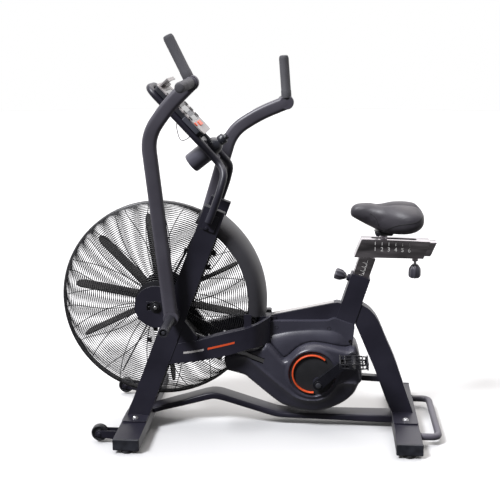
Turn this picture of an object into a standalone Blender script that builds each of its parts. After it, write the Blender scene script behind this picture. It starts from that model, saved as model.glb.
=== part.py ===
"""Air bike: fan, crank drive, swing arms, adjustable seat and console, as named solid pieces.

Metres, +Z up, +X towards the seat, +Y to the rider's right. The floor is z = 0.
"""
import math

import bmesh
import bpy
import numpy as np
from mathutils import Matrix, Vector

# ---------------------------------------------------------------- driving dimensions
FAN = (-0.325, 0.458)            # fan axis, x and z
CRANK = (0.2426, 0.187)          # crank axis
PIVOT = (-0.264, 0.4345)         # swing arm axis
LEG_FOOT = (-0.3917, 0.0707)     # a point on the leg centreline
LEG_DIR = (0.3510, 0.9363)       # leg direction
LEG_WIDTH = 0.074
LEG_IN, LEG_OUT = 0.088, 0.118   # side frame, inner and outer |y|
LEG_TOP = 0.784                  # length of the leg above LEG_FOOT

HOOP_OUT, HOOP_IN = 0.355, 0.349
GRILLE_FACE = 0.066              # |y| of the flat part of the grille
SHROUD_R = 0.3815
BLADES = 10
BLADE_TIP = 0.300
HUB_R = 0.030
AXLE_R = 0.010

CRANK_LENGTH = 0.160
CRANK_ANGLE = 42.0               # left crank, degrees above the rear horizontal
PULLEY_R, FAN_PULLEY_R = 0.060, 0.020
BELT_IN, BELT_OUT = 0.070, 0.078
BELT_THICK = 0.003
ECCENTRIC_R, ECCENTRIC_THROW = 0.0125, 0.0105
ROD_IN, ROD_OUT = 0.0805, 0.0865
LEVER = 0.055
LEVER_IN, LEVER_OUT = 0.0893, 0.0960
ROD_RING_IN, ROD_RING_OUT = 0.0375, 0.0430
ROD_TRAVEL = 0.0224              # how far a push rod runs as its arm swings from one end to the other
ARM_OFFSET = -22.0               # right arm stands this far to the rear at rest, degrees

FRONT_BAR = (-0.402, 0.325)      # stabiliser centre x and half length
REAR_BAR = (0.551, 0.295)
BAR_HALF, BAR_LOW, BAR_HIGH = 0.045, 0.012, 0.052
WHEEL = (-0.510, 0.230, 0.036)
WHEEL_R, WHEEL_HALF = 0.029, 0.012

TUBE_AXIS = (0.2990, 0.9543)     # seat tube direction
TUBE_TOP = (0.3855, 0.5575)
CONSOLE_MID = (-0.2300, 1.1396)
CONSOLE_SLOPE = -46.5
CUP_BASE = (-0.212, 0.9435)
CUP_SLOPE = 38.0
GAP = 0.0003

MATERIALS = {
    "frame_paint": ((0.020, 0.021, 0.026), 0.45, 0.0),
    "arm_paint": ((0.040, 0.041, 0.050), 0.42, 0.0),
    "casing_plastic": ((0.035, 0.036, 0.042), 0.55, 0.0),
    "trim_plastic": ((0.015, 0.015, 0.018), 0.50, 0.0),
    "ring_orange": ((0.60, 0.10, 0.02), 0.40, 0.0),
    "pale_trim": ((0.62, 0.62, 0.60), 0.45, 0.0),
    "bezel_grey": ((0.42, 0.43, 0.45), 0.40, 0.0),
    "screen_glass": ((0.03, 0.04, 0.05), 0.10, 0.0),
    "bright_steel": ((0.62, 0.63, 0.65), 0.25, 1.0),
    "wire_black": ((0.020, 0.020, 0.022), 0.40, 0.0),
    "blade_black": ((0.018, 0.018, 0.020), 0.50, 0.0),
    "grip_rubber": ((0.045, 0.046, 0.050), 0.80, 0.0),
    "pad_rubber": ((0.020, 0.020, 0.020), 0.85, 0.0),
    "belt_rubber": ((0.018, 0.018, 0.018), 0.80, 0.0),
    "vinyl": ((0.030, 0.030, 0.033), 0.60, 0.0),
    "bottle_plastic": ((0.030, 0.032, 0.036), 0.30, 0.0),
}


# ---------------------------------------------------------------- shape helpers
def clear_scene():
    for item in list(bpy.data.objects):
        bpy.data.objects.remove(item, do_unlink=True)


def solid(verts, faces):
    """A loose closed mesh object with its faces turned outward."""
    mesh = bpy.data.meshes.new("shape")
    mesh.from_pydata([tuple(float(c) for c in v) for v in verts], [], faces)
    work = bmesh.new()
    work.from_mesh(mesh)
    bmesh.ops.recalc_face_normals(work, faces=work.faces)
    work.to_mesh(mesh)
    work.free()
    item = bpy.data.objects.new("shape", mesh)
    bpy.context.scene.collection.objects.link(item)
    return item


def loft(sections):
    """Closed solid through loops of equal length, capped at both ends."""
    count = len(sections[0])
    verts = [p for section in sections for p in section]
    faces = [list(range(count))]
    for row in range(len(sections) - 1):
        base = row * count
        for i in range(count):
            j = (i + 1) % count
            faces.append([base + i, base + j, base + count + j, base + count + i])
    faces.append(list(range((len(sections) - 1) * count, len(sections) * count)))
    return solid(verts, faces)


def prism(points, y0, y1):
    """Side-view outline (x, z) given a thickness along y."""
    return loft([[(x, y, z) for x, z in points] for y in (y0, y1)])


def slab(points, z0, z1):
    """Plan outline (x, y) given a height."""
    return loft([[(x, y, z) for x, y in points] for z in (z0, z1)])


def box(x0, x1, y0, y1, z0, z1):
    return slab([(x0, y0), (x1, y0), (x1, y1), (x0, y1)], z0, z1)


def translation(vector):
    return Matrix.Translation(Vector(vector))


def axes_for(direction):
    w = Vector(direction).normalized()
    u = w.orthogonal().normalized()
    return u, w.cross(u), w


def cylinder(start, end, radius, sides=24, end_radius=None):
    start, end = Vector(start), Vector(end)
    u, v, _ = axes_for(end - start)
    rims = []
    for centre, r in ((start, radius), (end, radius if end_radius is None else end_radius)):
        rims.append([centre + (u * math.cos(a) + v * math.sin(a)) * r
                     for a in (2 * math.pi * k / sides for k in range(sides))])
    return loft(rims)


def pin(x, z, y0, y1, radius, sides=24):
    """Cylinder along y."""
    return cylinder((x, y0, z), (x, y1, z), radius, sides)


def ring(profile, centre, axis, sides=32):
    """Closed (radius, height) outline, kept off the axis, turned about the axis."""
    centre = Vector(centre)
    u, v, w = axes_for(axis)
    count = len(profile)
    verts, faces = [], []
    for k in range(sides):
        a = 2 * math.pi * k / sides
        spoke = u * math.cos(a) + v * math.sin(a)
        verts += [centre + spoke * r + w * h for r, h in profile]
    for k in range(sides):
        base, after = k * count, (k + 1) % sides * count
        for i in range(count):
            j = (i + 1) % count
            faces.append([base + i, base + j, after + j, after + i])
    return solid(verts, faces)


def turned(profile, centre, axis, sides=32):
    """Solid from rims (radius, height) listed along the axis."""
    centre = Vector(centre)
    u, v, w = axes_for(axis)
    rims = []
    for r, h in profile:
        rims.append([centre + w * h + (u * math.cos(a) + v * math.sin(a)) * r
                     for a in (2 * math.pi * k / sides for k in range(sides))])
    return loft(rims)


def eased(path, radius, steps=4):
    """Path with each inner corner replaced by a short curve."""
    path = [Vector(p) for p in path]
    out = [path[0]]
    for before, corner, after in zip(path, path[1:], path[2:]):
        a, b = before - corner, after - corner
        reach = min(radius, a.length * 0.48, b.length * 0.48)
        p, q = corner + a.normalized() * reach, corner + b.normalized() * reach
        for k in range(steps + 1):
            t = k / steps
            out.append(p * (1 - t) ** 2 + corner * 2 * t * (1 - t) + q * t ** 2)
    out.append(path[-1])
    return out


def sweep(path, section, reference=None):
    """Section (a, b) carried along a path; a lies across the reference direction."""
    path = [Vector(p) for p in path]
    tangents = []
    for i in range(len(path)):
        before = path[max(i - 1, 0)]
        after = path[min(i + 1, len(path) - 1)]
        tangents.append((after - before).normalized())
    side = (Vector(reference) if reference else tangents[0].orthogonal()).cross(tangents[0])
    loops = []
    for point, tangent in zip(path, tangents):
        if reference:
            side = Vector(reference).cross(tangent)
        side = (side - tangent * side.dot(tangent)).normalized()
        other = tangent.cross(side)
        loops.append([point + side * a + other * b for a, b in section])
    return loft(loops)


def circle(radius, sides=12):
    return [(radius * math.cos(2 * math.pi * k / sides), radius * math.sin(2 * math.pi * k / sides))
            for k in range(sides)]


def oval(width, depth, steps=4):
    """Flat-sided oval, width along a and depth along b."""
    r, flat = depth / 2, (width - depth) / 2
    points = []
    for centre, start in ((flat, -90), (-flat, 90)):
        for k in range(steps + 1):
            a = math.radians(start + 180 * k / steps)
            points.append((centre + r * math.cos(a), r * math.sin(a)))
    return points


def combine(target, tool, operation):
    change = target.modifiers.new("combine", "BOOLEAN")
    change.operation = operation
    change.solver = "EXACT"
    change.object = tool
    graph = bpy.context.evaluated_depsgraph_get()
    mesh = bpy.data.meshes.new_from_object(target.evaluated_get(graph))
    target.modifiers.clear()
    target.data = mesh
    bpy.data.objects.remove(tool, do_unlink=True)
    return target


def joined(first, *others):
    for other in others:
        combine(first, other, "UNION")
    return first


def cut(target, *tools):
    for tool in tools:
        combine(target, tool, "DIFFERENCE")
    return target


def material(name):
    found = bpy.data.materials.get(name)
    if found:
        return found
    colour, rough, metal = MATERIALS[name]
    made = bpy.data.materials.new(name)
    made.use_nodes = True
    shader = made.node_tree.nodes["Principled BSDF"]
    shader.inputs["Base Color"].default_value = (*colour, 1.0)
    shader.inputs["Roughness"].default_value = rough
    shader.inputs["Metallic"].default_value = metal
    made.diffuse_color = (*colour, 1.0)
    return made


def publish(name, item, finish, origin=(0.0, 0.0, 0.0), turn=0.0, smooth=35.0):
    """Name a finished piece, put its origin where it turns, and turn it about y."""
    mesh = item.data
    work = bmesh.new()
    work.from_mesh(mesh)
    bmesh.ops.remove_doubles(work, verts=work.verts, dist=0.00001)
    bmesh.ops.dissolve_degenerate(work, edges=work.edges, dist=0.00001)
    bmesh.ops.translate(work, vec=-Vector(origin), verts=work.verts)
    bmesh.ops.recalc_face_normals(work, faces=work.faces)
    for edge in work.edges:
        edge.smooth = edge.calc_face_angle(3.2) < math.radians(smooth)
    for face in work.faces:
        face.smooth = True
    work.to_mesh(mesh)
    work.free()
    mesh.materials.clear()
    mesh.materials.append(material(finish))
    item.name = mesh.name = name
    item.location = origin
    item.rotation_euler = (0.0, math.radians(turn), 0.0)
    return item


def inset(points, distance):
    """Outline moved inward by a distance, corner by corner (points run anticlockwise)."""
    area = sum(x0 * z1 - x1 * z0 for (x0, z0), (x1, z1) in zip(points, points[1:] + points[:1]))
    turn = 1.0 if area > 0 else -1.0
    moved = []
    for i, here in enumerate(points):
        here = np.array(here)
        d0 = here - np.array(points[i - 1])
        d1 = np.array(points[(i + 1) % len(points)]) - here
        n0 = np.array([-d0[1], d0[0]]) / np.hypot(*d0) * turn
        n1 = np.array([-d1[1], d1[0]]) / np.hypot(*d1) * turn
        n = n0 + n1
        moved.append(tuple(here + n * distance / max(1.0 + n0.dot(n1), 0.35)))
    return moved


def side_names():
    return ((-1, "left"), (1, "right"))


def span(side, low, high):
    return (side * low, side * high) if side > 0 else (side * high, side * low)


# ---------------------------------------------------------------- base
def build_base():
    x, half = FRONT_BAR
    bar = box(x - BAR_HALF, x + BAR_HALF, -half, half, BAR_LOW, BAR_HIGH)
    for side in (-1, 1):
        yc = side * WHEEL[1]
        fork = [(x - BAR_HALF + 0.004, BAR_LOW + 0.003), (x - BAR_HALF + 0.004, BAR_HIGH - 0.004),
                (WHEEL[0] + 0.004, WHEEL[2] + 0.012), (WHEEL[0] - 0.012, WHEEL[2] + 0.006),
                (WHEEL[0] - 0.012, WHEEL[2] - 0.007), (WHEEL[0] + 0.004, WHEEL[2] - 0.012)]
        for y0 in (yc - 0.0175, yc + 0.0135):
            joined(bar, prism(fork, y0, y0 + 0.004))
        joined(bar, pin(WHEEL[0], WHEEL[2], yc - 0.020, yc + 0.020, 0.004, 12))
    publish("front_stabiliser", bar, "frame_paint")
    x, half = REAR_BAR
    publish("rear_stabiliser", box(x - BAR_HALF, x + BAR_HALF, -half, half, BAR_LOW, BAR_HIGH),
            "frame_paint")
    for end, (x, half) in (("front", FRONT_BAR), ("rear", REAR_BAR)):
        for side, name in side_names():
            pad = turned([(0.022, 0.0), (0.024, 0.003), (0.024, 0.0117)],
                         (x, side * (half - 0.025), 0.0), (0, 0, 1), 24)
            publish(f"{end}_{name}_pad", pad, "pad_rubber")


def build_base_spine():
    top = [(-0.3567, 0.0515), (-0.185, 0.104), (-0.142, 0.115), (-0.097, 0.109),
           (0.086, 0.051), (0.146, 0.045), (0.326, 0.047), (0.5057, 0.048)]
    bottom = [(0.5057, 0.018), (0.287, 0.024), (0.117, 0.027), (0.081, 0.032), (-0.109, 0.087),
              (-0.134, 0.092), (-0.185, 0.079), (-0.342, 0.036), (-0.3567, 0.030)]
    publish("base_spine", prism(top + bottom, -0.037, 0.037), "frame_paint")


def build_wheels():
    for side, name in side_names():
        profile = [(0.0045, -WHEEL_HALF), (WHEEL_R - 0.003, -WHEEL_HALF),
                   (WHEEL_R, -WHEEL_HALF + 0.004), (WHEEL_R, WHEEL_HALF - 0.004),
                   (WHEEL_R - 0.003, WHEEL_HALF), (0.0045, WHEEL_HALF)]
        hub = (WHEEL[0], side * WHEEL[1], WHEEL[2])
        wheel = ring(profile, (0, 0, 0), (0, 1, 0), 24)
        wheel.data.transform(translation(hub))
        publish(f"{name}_wheel", wheel, "trim_plastic", hub)


def build_carry_handle():
    x0, x1, half = REAR_BAR[0] + BAR_HALF + GAP, 0.660, 0.178
    path = [(x0, -half, 0.032), (x1, -half, 0.032), (x1, half, 0.032), (x0, half, 0.032)]
    publish("carry_handle", sweep(eased(path, 0.040), circle(0.012, 10), (0, 0, 1)), "frame_paint")


# ---------------------------------------------------------------- side frames
def leg_point(along, across):
    dx, dz = LEG_DIR
    return (LEG_FOOT[0] + dx * along + dz * across, LEG_FOOT[1] + dz * along - dx * across)


def leg_at(z, across):
    dx, dz = LEG_DIR
    along = (z - LEG_FOOT[1] + dx * across) / dz
    return leg_point(along, across)


def bar_sections(side, grow=0.0):
    """Side bar: straight beside the cage, then bending in to the rear frame."""
    stations = [(-0.300, 0.2478, 0.3205, LEG_IN), (-0.257, 0.2535, 0.326, LEG_IN),
                (-0.184, 0.263, 0.339, LEG_IN), (-0.081, 0.286, 0.3676, LEG_IN),
                (-0.004, 0.311, 0.389, LEG_IN), (0.020, 0.314, 0.396, 0.080),
                (0.045, 0.317, 0.405, 0.060), (0.062, 0.318, 0.412, 0.040),
                (0.070, 0.318, 0.414, 0.025)]
    loops = []
    for x, low, high, inner in stations:
        a, b = inner - grow, inner + LEG_OUT - LEG_IN + grow
        low, high = low - grow, high + grow
        loops.append([(x, side * a, low), (x, side * b, low), (x, side * b, high), (x, side * a, high)])
    return loops


def belt_strands():
    """Angles of the belt's tangent points, upper then lower strand."""
    delta = np.array(CRANK) - np.array(FAN)
    length = np.hypot(*delta)
    heading = math.atan2(delta[1], delta[0])
    lean = math.asin((PULLEY_R - FAN_PULLEY_R) / length)
    strands = []
    for sign in (1, -1):
        strands.append(heading + sign * (math.pi / 2 + lean))
    return strands


def belt_outline(extra, sides=24):
    """Closed belt outline standing off the two pulleys by extra."""
    upper, lower = belt_strands()
    points = []
    for k in range(sides // 2 + 1):
        t = upper + (lower + 2 * math.pi - upper) * k / (sides // 2)
        points.append((FAN[0] + (FAN_PULLEY_R + extra) * math.cos(t),
                       FAN[1] + (FAN_PULLEY_R + extra) * math.sin(t)))
    for k in range(sides + 1):
        t = lower + (upper - lower) * k / sides
        points.append((CRANK[0] + (PULLEY_R + extra) * math.cos(t),
                       CRANK[1] + (PULLEY_R + extra) * math.sin(t)))
    return points


def build_side_frame(side, name):
    y0, y1 = span(side, LEG_IN, LEG_OUT)
    half = LEG_WIDTH / 2
    leg = prism([leg_at(0.0545, -half), leg_at(0.0545, half), leg_point(LEG_TOP, half),
                 leg_point(LEG_TOP, -half)], y0, y1)
    joined(leg, loft(bar_sections(side)))
    gusset = [(-0.262, 0.400), (-0.226, 0.409), (-0.180, 0.345), (-0.190, 0.330), (-0.275, 0.320)]
    joined(leg, prism(gusset, *span(side, LEG_IN + 0.002, LEG_OUT - 0.002)))
    foot_x = FRONT_BAR[0]
    joined(leg, box(foot_x - 0.043, foot_x + 0.043, *span(side, 0.070, 0.175),
                    BAR_HIGH + GAP, BAR_HIGH + 0.0045))
    joined(leg, pin_up(foot_x, side * 0.146, BAR_HIGH + 0.003, BAR_HIGH + 0.012, 0.009, 6))
    joined(leg, pin(*FAN, *span(side, 0.1115, 0.1175), 0.075, 30))
    spacer_in = GRILLE_FACE + GAP if side < 0 else 0.0800
    joined(leg, pin(*FAN, *span(side, spacer_in, 0.1130), 0.018, 16))
    joined(leg, pin(*PIVOT, *span(side, 0.094, 0.145), 0.022, 22))
    for x, z in ((-0.1665, 0.7405), (-0.134, 0.731)):
        joined(leg, pin(x, z, *span(side, 0.0845, 0.092), 0.008, 12))
    tab = [(-0.020, 0.375), (0.006, 0.375), (0.006, 0.432), (-0.020, 0.432)]
    joined(leg, prism(tab, *span(side, LEG_IN, LEG_IN + 0.003)))
    cut(leg, lever_pocket(side), pin(*PIVOT, *span(side, 0.090, 0.150), 0.0124, 20),
        pin(*FAN, *span(side, 0.050, 0.130), AXLE_R + GAP, 20))
    bridge = [(PIVOT[0] + dx, PIVOT[1] + dz) for dx, dz in
              ((-0.036, -0.016), (0.046, -0.016), (0.046, 0.018), (-0.036, 0.018))]
    joined(leg, prism(bridge, *span(side, 0.0835, 0.0885)))
    cut(leg, pin(*PIVOT, *span(side, 0.080, 0.092), 0.008 + GAP, 20))
    if side > 0:
        cut(leg, prism(belt_outline(BELT_THICK + 0.003), BELT_IN - 0.002, BELT_OUT + 0.002))
    publish(f"{name}_side_frame", leg, "frame_paint")


def pin_up(x, y, z0, z1, radius, sides):
    return cylinder((x, y, z0), (x, y, z1), radius, sides)


def lever_pocket(side):
    """Hollow in the inner face of the leg where the arm's lever swings."""
    px, pz = PIVOT
    outline = [(px - 0.016, pz + 0.020), (px + 0.016, pz + 0.020), (px + 0.022, pz),
               (px + 0.026, pz - 0.035), (px + 0.026, pz - 0.066), (px - 0.052, pz - 0.066),
               (px - 0.052, pz - 0.045), (px - 0.022, pz)]
    return prism(outline, *span(side, 0.080, 0.0975))


# ---------------------------------------------------------------- fan, cage and shroud
def grille_face(radius):
    """Outer |y| of the grille at a radius: flat, then curving back to the hoop."""
    start = 0.300
    if radius <= start:
        return GRILLE_FACE
    t = (radius - start) / (HOOP_OUT - start)
    return GRILLE_FACE - 0.0255 * (1 - math.sqrt(max(0.0, 1 - t * t)))


def build_grille(side, name):
    """Rings and spokes as one lattice solid; open cells are left out."""
    bore = AXLE_R + 0.0005 if side < 0 else 0.0270
    edges = [(bore, 0.085, True)]
    for low, high in ((0.085, 0.155), (0.159, 0.228), (0.232, 0.300), (0.304, 0.342)):
        edges.append((low, high, False))
        edges.append((high, high + 0.004 if high < 0.34 else HOOP_OUT, True))
    radii = [edges[0][0]] + [e[1] for e in edges]
    solid_row = [e[2] for e in edges]
    turns, solid_column = [], []
    for k in range(10):
        base = 18.0 + 36.0 * k
        turns += [base - 0.7, base + 0.7, base + 18.0]
        solid_column += [True, False, False]
    rows, columns, thick = len(radii), len(turns), 0.004
    verts = []
    for depth in (0.0, thick):
        for r in radii:
            y = side * (grille_face(r) - depth)
            for a in turns:
                verts.append((FAN[0] + r * math.cos(math.radians(a)), y,
                              FAN[1] + r * math.sin(math.radians(a))))
    layer = rows * columns

    def filled(i, j):
        return 0 <= i < rows - 1 and (solid_row[i] or solid_column[j % columns])

    faces = []
    for i in range(rows - 1):
        for j in range(columns):
            if not filled(i, j):
                continue
            k = (j + 1) % columns
            a, b, c, d = (i * columns + j, i * columns + k, (i + 1) * columns + k,
                          (i + 1) * columns + j)
            faces += [[a, b, c, d], [a + layer, b + layer, c + layer, d + layer]]
            for p, q, neighbour in ((a, b, (i - 1, j)), (b, c, (i, j + 1)),
                                    (c, d, (i + 1, j)), (d, a, (i, j - 1))):
                if not filled(*neighbour):
                    faces.append([p, q, q + layer, p + layer])
    used = sorted({v for face in faces for v in face})
    order = {v: n for n, v in enumerate(used)}
    grille = solid([verts[v] for v in used], [[order[v] for v in face] for face in faces])
    publish(f"{name}_grille", grille, "wire_black")


def build_cage():
    rim = 0.0362
    profile = [(HOOP_IN, -rim), (HOOP_OUT, -rim), (HOOP_OUT, rim), (HOOP_IN, rim)]
    hoop = ring(profile, (0, 0, 0), (0, 1, 0), 60)
    hoop.data.transform(translation((FAN[0], 0, FAN[1])))
    publish("cage_hoop", hoop, "wire_black")
    for side, name in side_names():
        build_grille(side, name)


def build_shroud():
    outer = [(-0.084, 0.322), (-0.083, 0.345), (-0.074, 0.361), (-0.050, 0.3735), (-0.022, 0.3800),
             (0.022, 0.3800), (0.050, 0.3735), (0.074, 0.361), (0.083, 0.345), (0.084, 0.322)]
    inner = [(0.081, 0.322), (0.080, 0.344), (0.0715, 0.3588), (0.049, 0.3706), (0.022, 0.377),
             (-0.022, 0.377), (-0.049, 0.3706), (-0.0715, 0.3588), (-0.080, 0.344), (-0.081, 0.322)]
    loops = []
    for k in range(16):
        a = math.radians(65.0 - 71.5 * k / 15)
        loops.append([(FAN[0] + r * math.cos(a), y, FAN[1] + r * math.sin(a))
                      for y, r in outer + inner])
    publish("fan_shroud", loft(loops), "casing_plastic")


def build_fan():
    fx, fz = FAN
    wheel = pin(fx, fz, -0.050, 0.050, 0.046, 30)
    joined(wheel, pin(fx, fz, -0.0500, -0.0465, 0.078, 30), pin(fx, fz, 0.0465, 0.0500, 0.078, 30))
    blade = [(0.040, -0.0500), (0.040, 0.0500)]
    for sign in (1, -1):
        for k in range(3):
            a = math.radians(45 * k if sign > 0 else 90 - 45 * k)
            blade.append((BLADE_TIP - 0.030 + 0.030 * (math.sin(a)),
                          sign * (0.0500 - 0.030 + 0.030 * math.cos(a))))
    for n in range(BLADES):
        a = math.radians(26 + 36 * n)
        out = Vector((math.cos(a), 0, math.sin(a)))
        across = Vector((0, 1, 0))
        thick = across.cross(out)
        pitch = math.radians(10)
        lean = across * math.cos(pitch) + thick * math.sin(pitch)
        normal = out.cross(lean)
        centre = Vector((fx, 0, fz))
        faces = [[centre + out * r + lean * y * 0.98 + normal * t for r, y in blade]
                 for t in (-0.002, 0.002)]
        joined(wheel, loft(faces))
    cut(wheel, pin(fx, fz, -0.06, 0.06, HUB_R + 0.0006, 24))
    publish("fan_wheel", wheel, "blade_black", (fx, 0, fz))
    build_fan_hub()


def build_fan_hub():
    fx, fz = FAN
    p, f = FAN_PULLEY_R, FAN_PULLEY_R + 0.0045
    profile = [(0.0178, -0.058), (HUB_R, -0.058), (HUB_R, 0.0565), (p, 0.0575), (p, 0.0685),
               (f, 0.0685), (f, 0.0697), (p, 0.0697), (p, 0.0783), (f, 0.0783), (f, 0.0795),
               (0.0178, 0.0795), (0.0178, 0.0710), (0.0130, 0.0710), (0.0130, -0.0495),
               (0.0178, -0.0495)]
    hub = ring(profile, (0, 0, 0), (0, 1, 0), 20)
    hub.data.transform(translation((fx, 0, fz)))
    publish("fan_hub", hub, "bright_steel", (fx, 0, fz))
    for y0, name in ((-0.0577, "left"), (0.0713, "right")):
        publish(f"fan_{name}_bearing", bearing(fx, fz, y0, y0 + 0.008, 0.0175), "bright_steel")
    axle = pin(fx, fz, -0.130, 0.130, AXLE_R, 20)
    for side in (-1, 1):
        joined(axle, pin(fx, fz, *span(side, 0.1178, 0.1265), 0.016, 6))
    publish("fan_axle", axle, "bright_steel")


def bearing(x, z, y0, y1, outer):
    profile = [(AXLE_R + GAP, y0), (outer, y0), (outer, y1), (AXLE_R + GAP, y1)]
    item = ring(profile, (0, 0, 0), (0, 1, 0), 20)
    item.data.transform(translation((x, 0, z)))
    return item


# ---------------------------------------------------------------- rear frame
SPINE = [(0.060, 0.388), (0.072, 0.4085), (0.304, 0.4605), (0.330, 0.455), (0.320, 0.395)]
REAR_POST = [(0.391, 0.455), (0.419, 0.437), (0.448, 0.401), (0.513, 0.254), (0.583, 0.056),
             (0.509, 0.056), (0.486, 0.102), (0.443, 0.215), (0.387, 0.344), (0.360, 0.405)]
GUSSET = [(0.235, 0.197), (0.462, 0.186), (0.468, 0.166), (0.235, 0.177)]


def tube_point(along, across):
    ax, az = TUBE_AXIS
    return (TUBE_TOP[0] + ax * along + az * across, TUBE_TOP[1] + az * along - ax * across)


def tube_box(low, high, width, half, side_gap=0.0):
    corners = [tube_point(low, -width / 2), tube_point(low, width / 2),
               tube_point(high, width / 2), tube_point(high, -width / 2)]
    return prism(corners, -half - side_gap, half + side_gap)


def strut():
    dx, dz = 0.335 - CRANK[0], 0.405 - CRANK[1]
    length = math.hypot(dx, dz)
    nx, nz = dz / length * 0.018, -dx / length * 0.018
    return [(CRANK[0] - nx, CRANK[1] - nz), (CRANK[0] + nx, CRANK[1] + nz),
            (0.335 + nx, 0.405 + nz), (0.335 - nx, 0.405 - nz)]


def build_rear_frame():
    frame = prism(SPINE, -0.020, 0.020)
    block = [(0.030, 0.322), (0.030, 0.404), (0.090, 0.408), (0.090, 0.322)]
    joined(frame, prism(block, -0.0247, 0.0247))
    joined(frame, tube_box(-0.190, 0.0, 0.068, 0.028))
    joined(frame, prism(REAR_POST, -0.025, 0.025), prism(strut(), -0.012, 0.012),
           prism(GUSSET, -0.0125, 0.0125))
    joined(frame, pin(*CRANK, -0.045, 0.045, 0.022, 28))
    x = REAR_BAR[0]
    joined(frame, box(x - 0.043, x + 0.043, -0.124, 0.124, BAR_HIGH + GAP, BAR_HIGH + 0.0045))
    for side in (-1, 1):
        joined(frame, pin_up(x, side * 0.095, BAR_HIGH + 0.003, BAR_HIGH + 0.012, 0.009, 6))
    boss = tube_point(-0.022, -0.034)
    joined(frame, across_tube(boss, -0.004, 0.010, 0.012))
    cut(frame, tube_box(-0.160, 0.010, 0.060, 0.022), across_tube(boss, -0.012, 0.014, 0.0055),
        pin(*CRANK, -0.060, 0.060, 0.0135, 24), pin(*CRANK, -0.060, -0.036, 0.0185, 24),
        pin(*CRANK, 0.036, 0.060, 0.0185, 24))
    publish("rear_frame", frame, "frame_paint")
    top = [(0.076, 0.4097), (0.304, 0.4608), (0.3035, 0.4628), (0.0755, 0.4117)]
    publish("spine_trim", prism(top, -0.019, 0.019), "pale_trim")


def across_tube(point, start, end, radius, sides=16):
    """Cylinder standing out of the front face of the seat tube."""
    ax, az = TUBE_AXIS
    x, z = point
    return cylinder((x - az * start, 0, z + ax * start), (x - az * end, 0, z + ax * end),
                    radius, sides)


# ---------------------------------------------------------------- casing
PLATE = [(0.072, 0.394), (0.175, 0.396), (0.275, 0.398), (0.294, 0.409), (0.368, 0.384),
         (0.364, 0.351), (0.360, 0.310), (0.378, 0.270), (0.392, 0.205), (0.380, 0.170),
         (0.358, 0.133), (0.312, 0.100), (0.243, 0.073), (0.192, 0.075), (0.098, 0.109),
         (0.004, 0.187), (-0.020, 0.203), (-0.080, 0.219), (-0.080, 0.262), (0.040, 0.300),
         (0.066, 0.340)]
BULGE_LOW = [(-0.085, 0.215), (-0.022, 0.199), (0.000, 0.183), (0.096, 0.104), (0.192, 0.070),
             (0.243, 0.068), (0.318, 0.097), (0.365, 0.136), (0.385, 0.177), (0.397, 0.200),
             (0.370, 0.299), (0.283, 0.314), (0.223, 0.321), (0.176, 0.307), (0.126, 0.266),
             (0.108, 0.266), (0.061, 0.324), (0.030, 0.306), (-0.085, 0.270)]
BULGE_TOP = [(-0.060, 0.240), (-0.012, 0.250), (0.012, 0.236), (0.095, 0.185), (0.178, 0.130),
             (0.223, 0.118), (0.286, 0.134), (0.330, 0.165), (0.352, 0.190), (0.362, 0.212),
             (0.352, 0.286), (0.280, 0.302), (0.222, 0.309), (0.178, 0.296), (0.132, 0.257),
             (0.104, 0.257), (0.056, 0.306), (0.026, 0.292), (-0.060, 0.258)]
RING_CENTRE = (0.2205, 0.2175)   # orange trim ring on each casing


def casing_solid(side, shrink):
    """Outer shape of one casing half, or its hollow when shrunk by the wall."""
    plate_y0 = 0.00015 if shrink == 0 else -0.010
    shape = prism(inset(PLATE, shrink), *span(side, plate_y0, 0.045 - shrink))
    low, top = list(BULGE_LOW), list(BULGE_TOP)
    if side > 0:
        low[14:16] = [(0.138, 0.316), (0.100, 0.322)]
        top[14:16] = [(0.138, 0.302), (0.100, 0.308)]
    inner_low = 0.0450 - 0.012 if shrink == 0 else 0.020
    loops = []
    for outline, y in ((low, inner_low), (low, 0.075), (top, 0.095 - shrink)):
        loops.append([(x, side * y, z) for x, z in inset(outline, shrink)])
    return joined(shape, loft(loops))


def rod_line(side):
    """Lever pin of one push rod, its direction towards the crank axis and the distance, side view."""
    start = lever_pin(side)
    dx, dz = CRANK[0] - start[0], CRANK[1] - start[1]
    length = math.hypot(dx, dz)
    return start, (dx / length, dz / length), length


def build_casing(side, name):
    case = cut(casing_solid(side, 0.0), casing_solid(side, 0.003))
    cut(case, loft(bar_sections(side, 0.0012)[4:]))
    cut(case, prism(inset(SPINE, -0.0012), -0.0215, 0.0215),
        prism([(0.029, 0.3205), (0.029, 0.405), (0.091, 0.409), (0.091, 0.3205)], -0.026, 0.026),
        tube_box(-0.192, 0.02, 0.071, 0.0292),
        prism(inset(REAR_POST, -0.0015), -0.0265, 0.0265),
        prism(inset(GUSSET, -0.0012), -0.0138, 0.0138), pin(*CRANK, *span(side, 0.0, 0.11), 0.020, 24))
    cut(case, turned([(0.290, -0.0690), (0.335, -0.0655), (0.3585, -0.0470), (0.3585, 0.0470),
                      (0.335, 0.0655), (0.290, 0.0690)], (FAN[0], 0, FAN[1]), (0, 1, 0), 60))
    (sx, sz), (dx, dz), _ = rod_line(side)
    tall = 0.0135
    slot = [(sx + dx * s - dz * t, sz + dz * s + dx * t)
            for s, t in ((0.15, -tall), (0.36, -tall), (0.36, tall), (0.15, tall))]
    cut(case, prism(slot, *span(side, ROD_IN - 0.0025, ROD_OUT + 0.0015)))
    if side > 0:
        cut(case, prism(belt_outline(BELT_THICK + 0.003), BELT_IN - 0.003, BELT_OUT + 0.003))
    publish(f"{name}_casing", case, "casing_plastic")
    build_ring(side, name)


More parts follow.
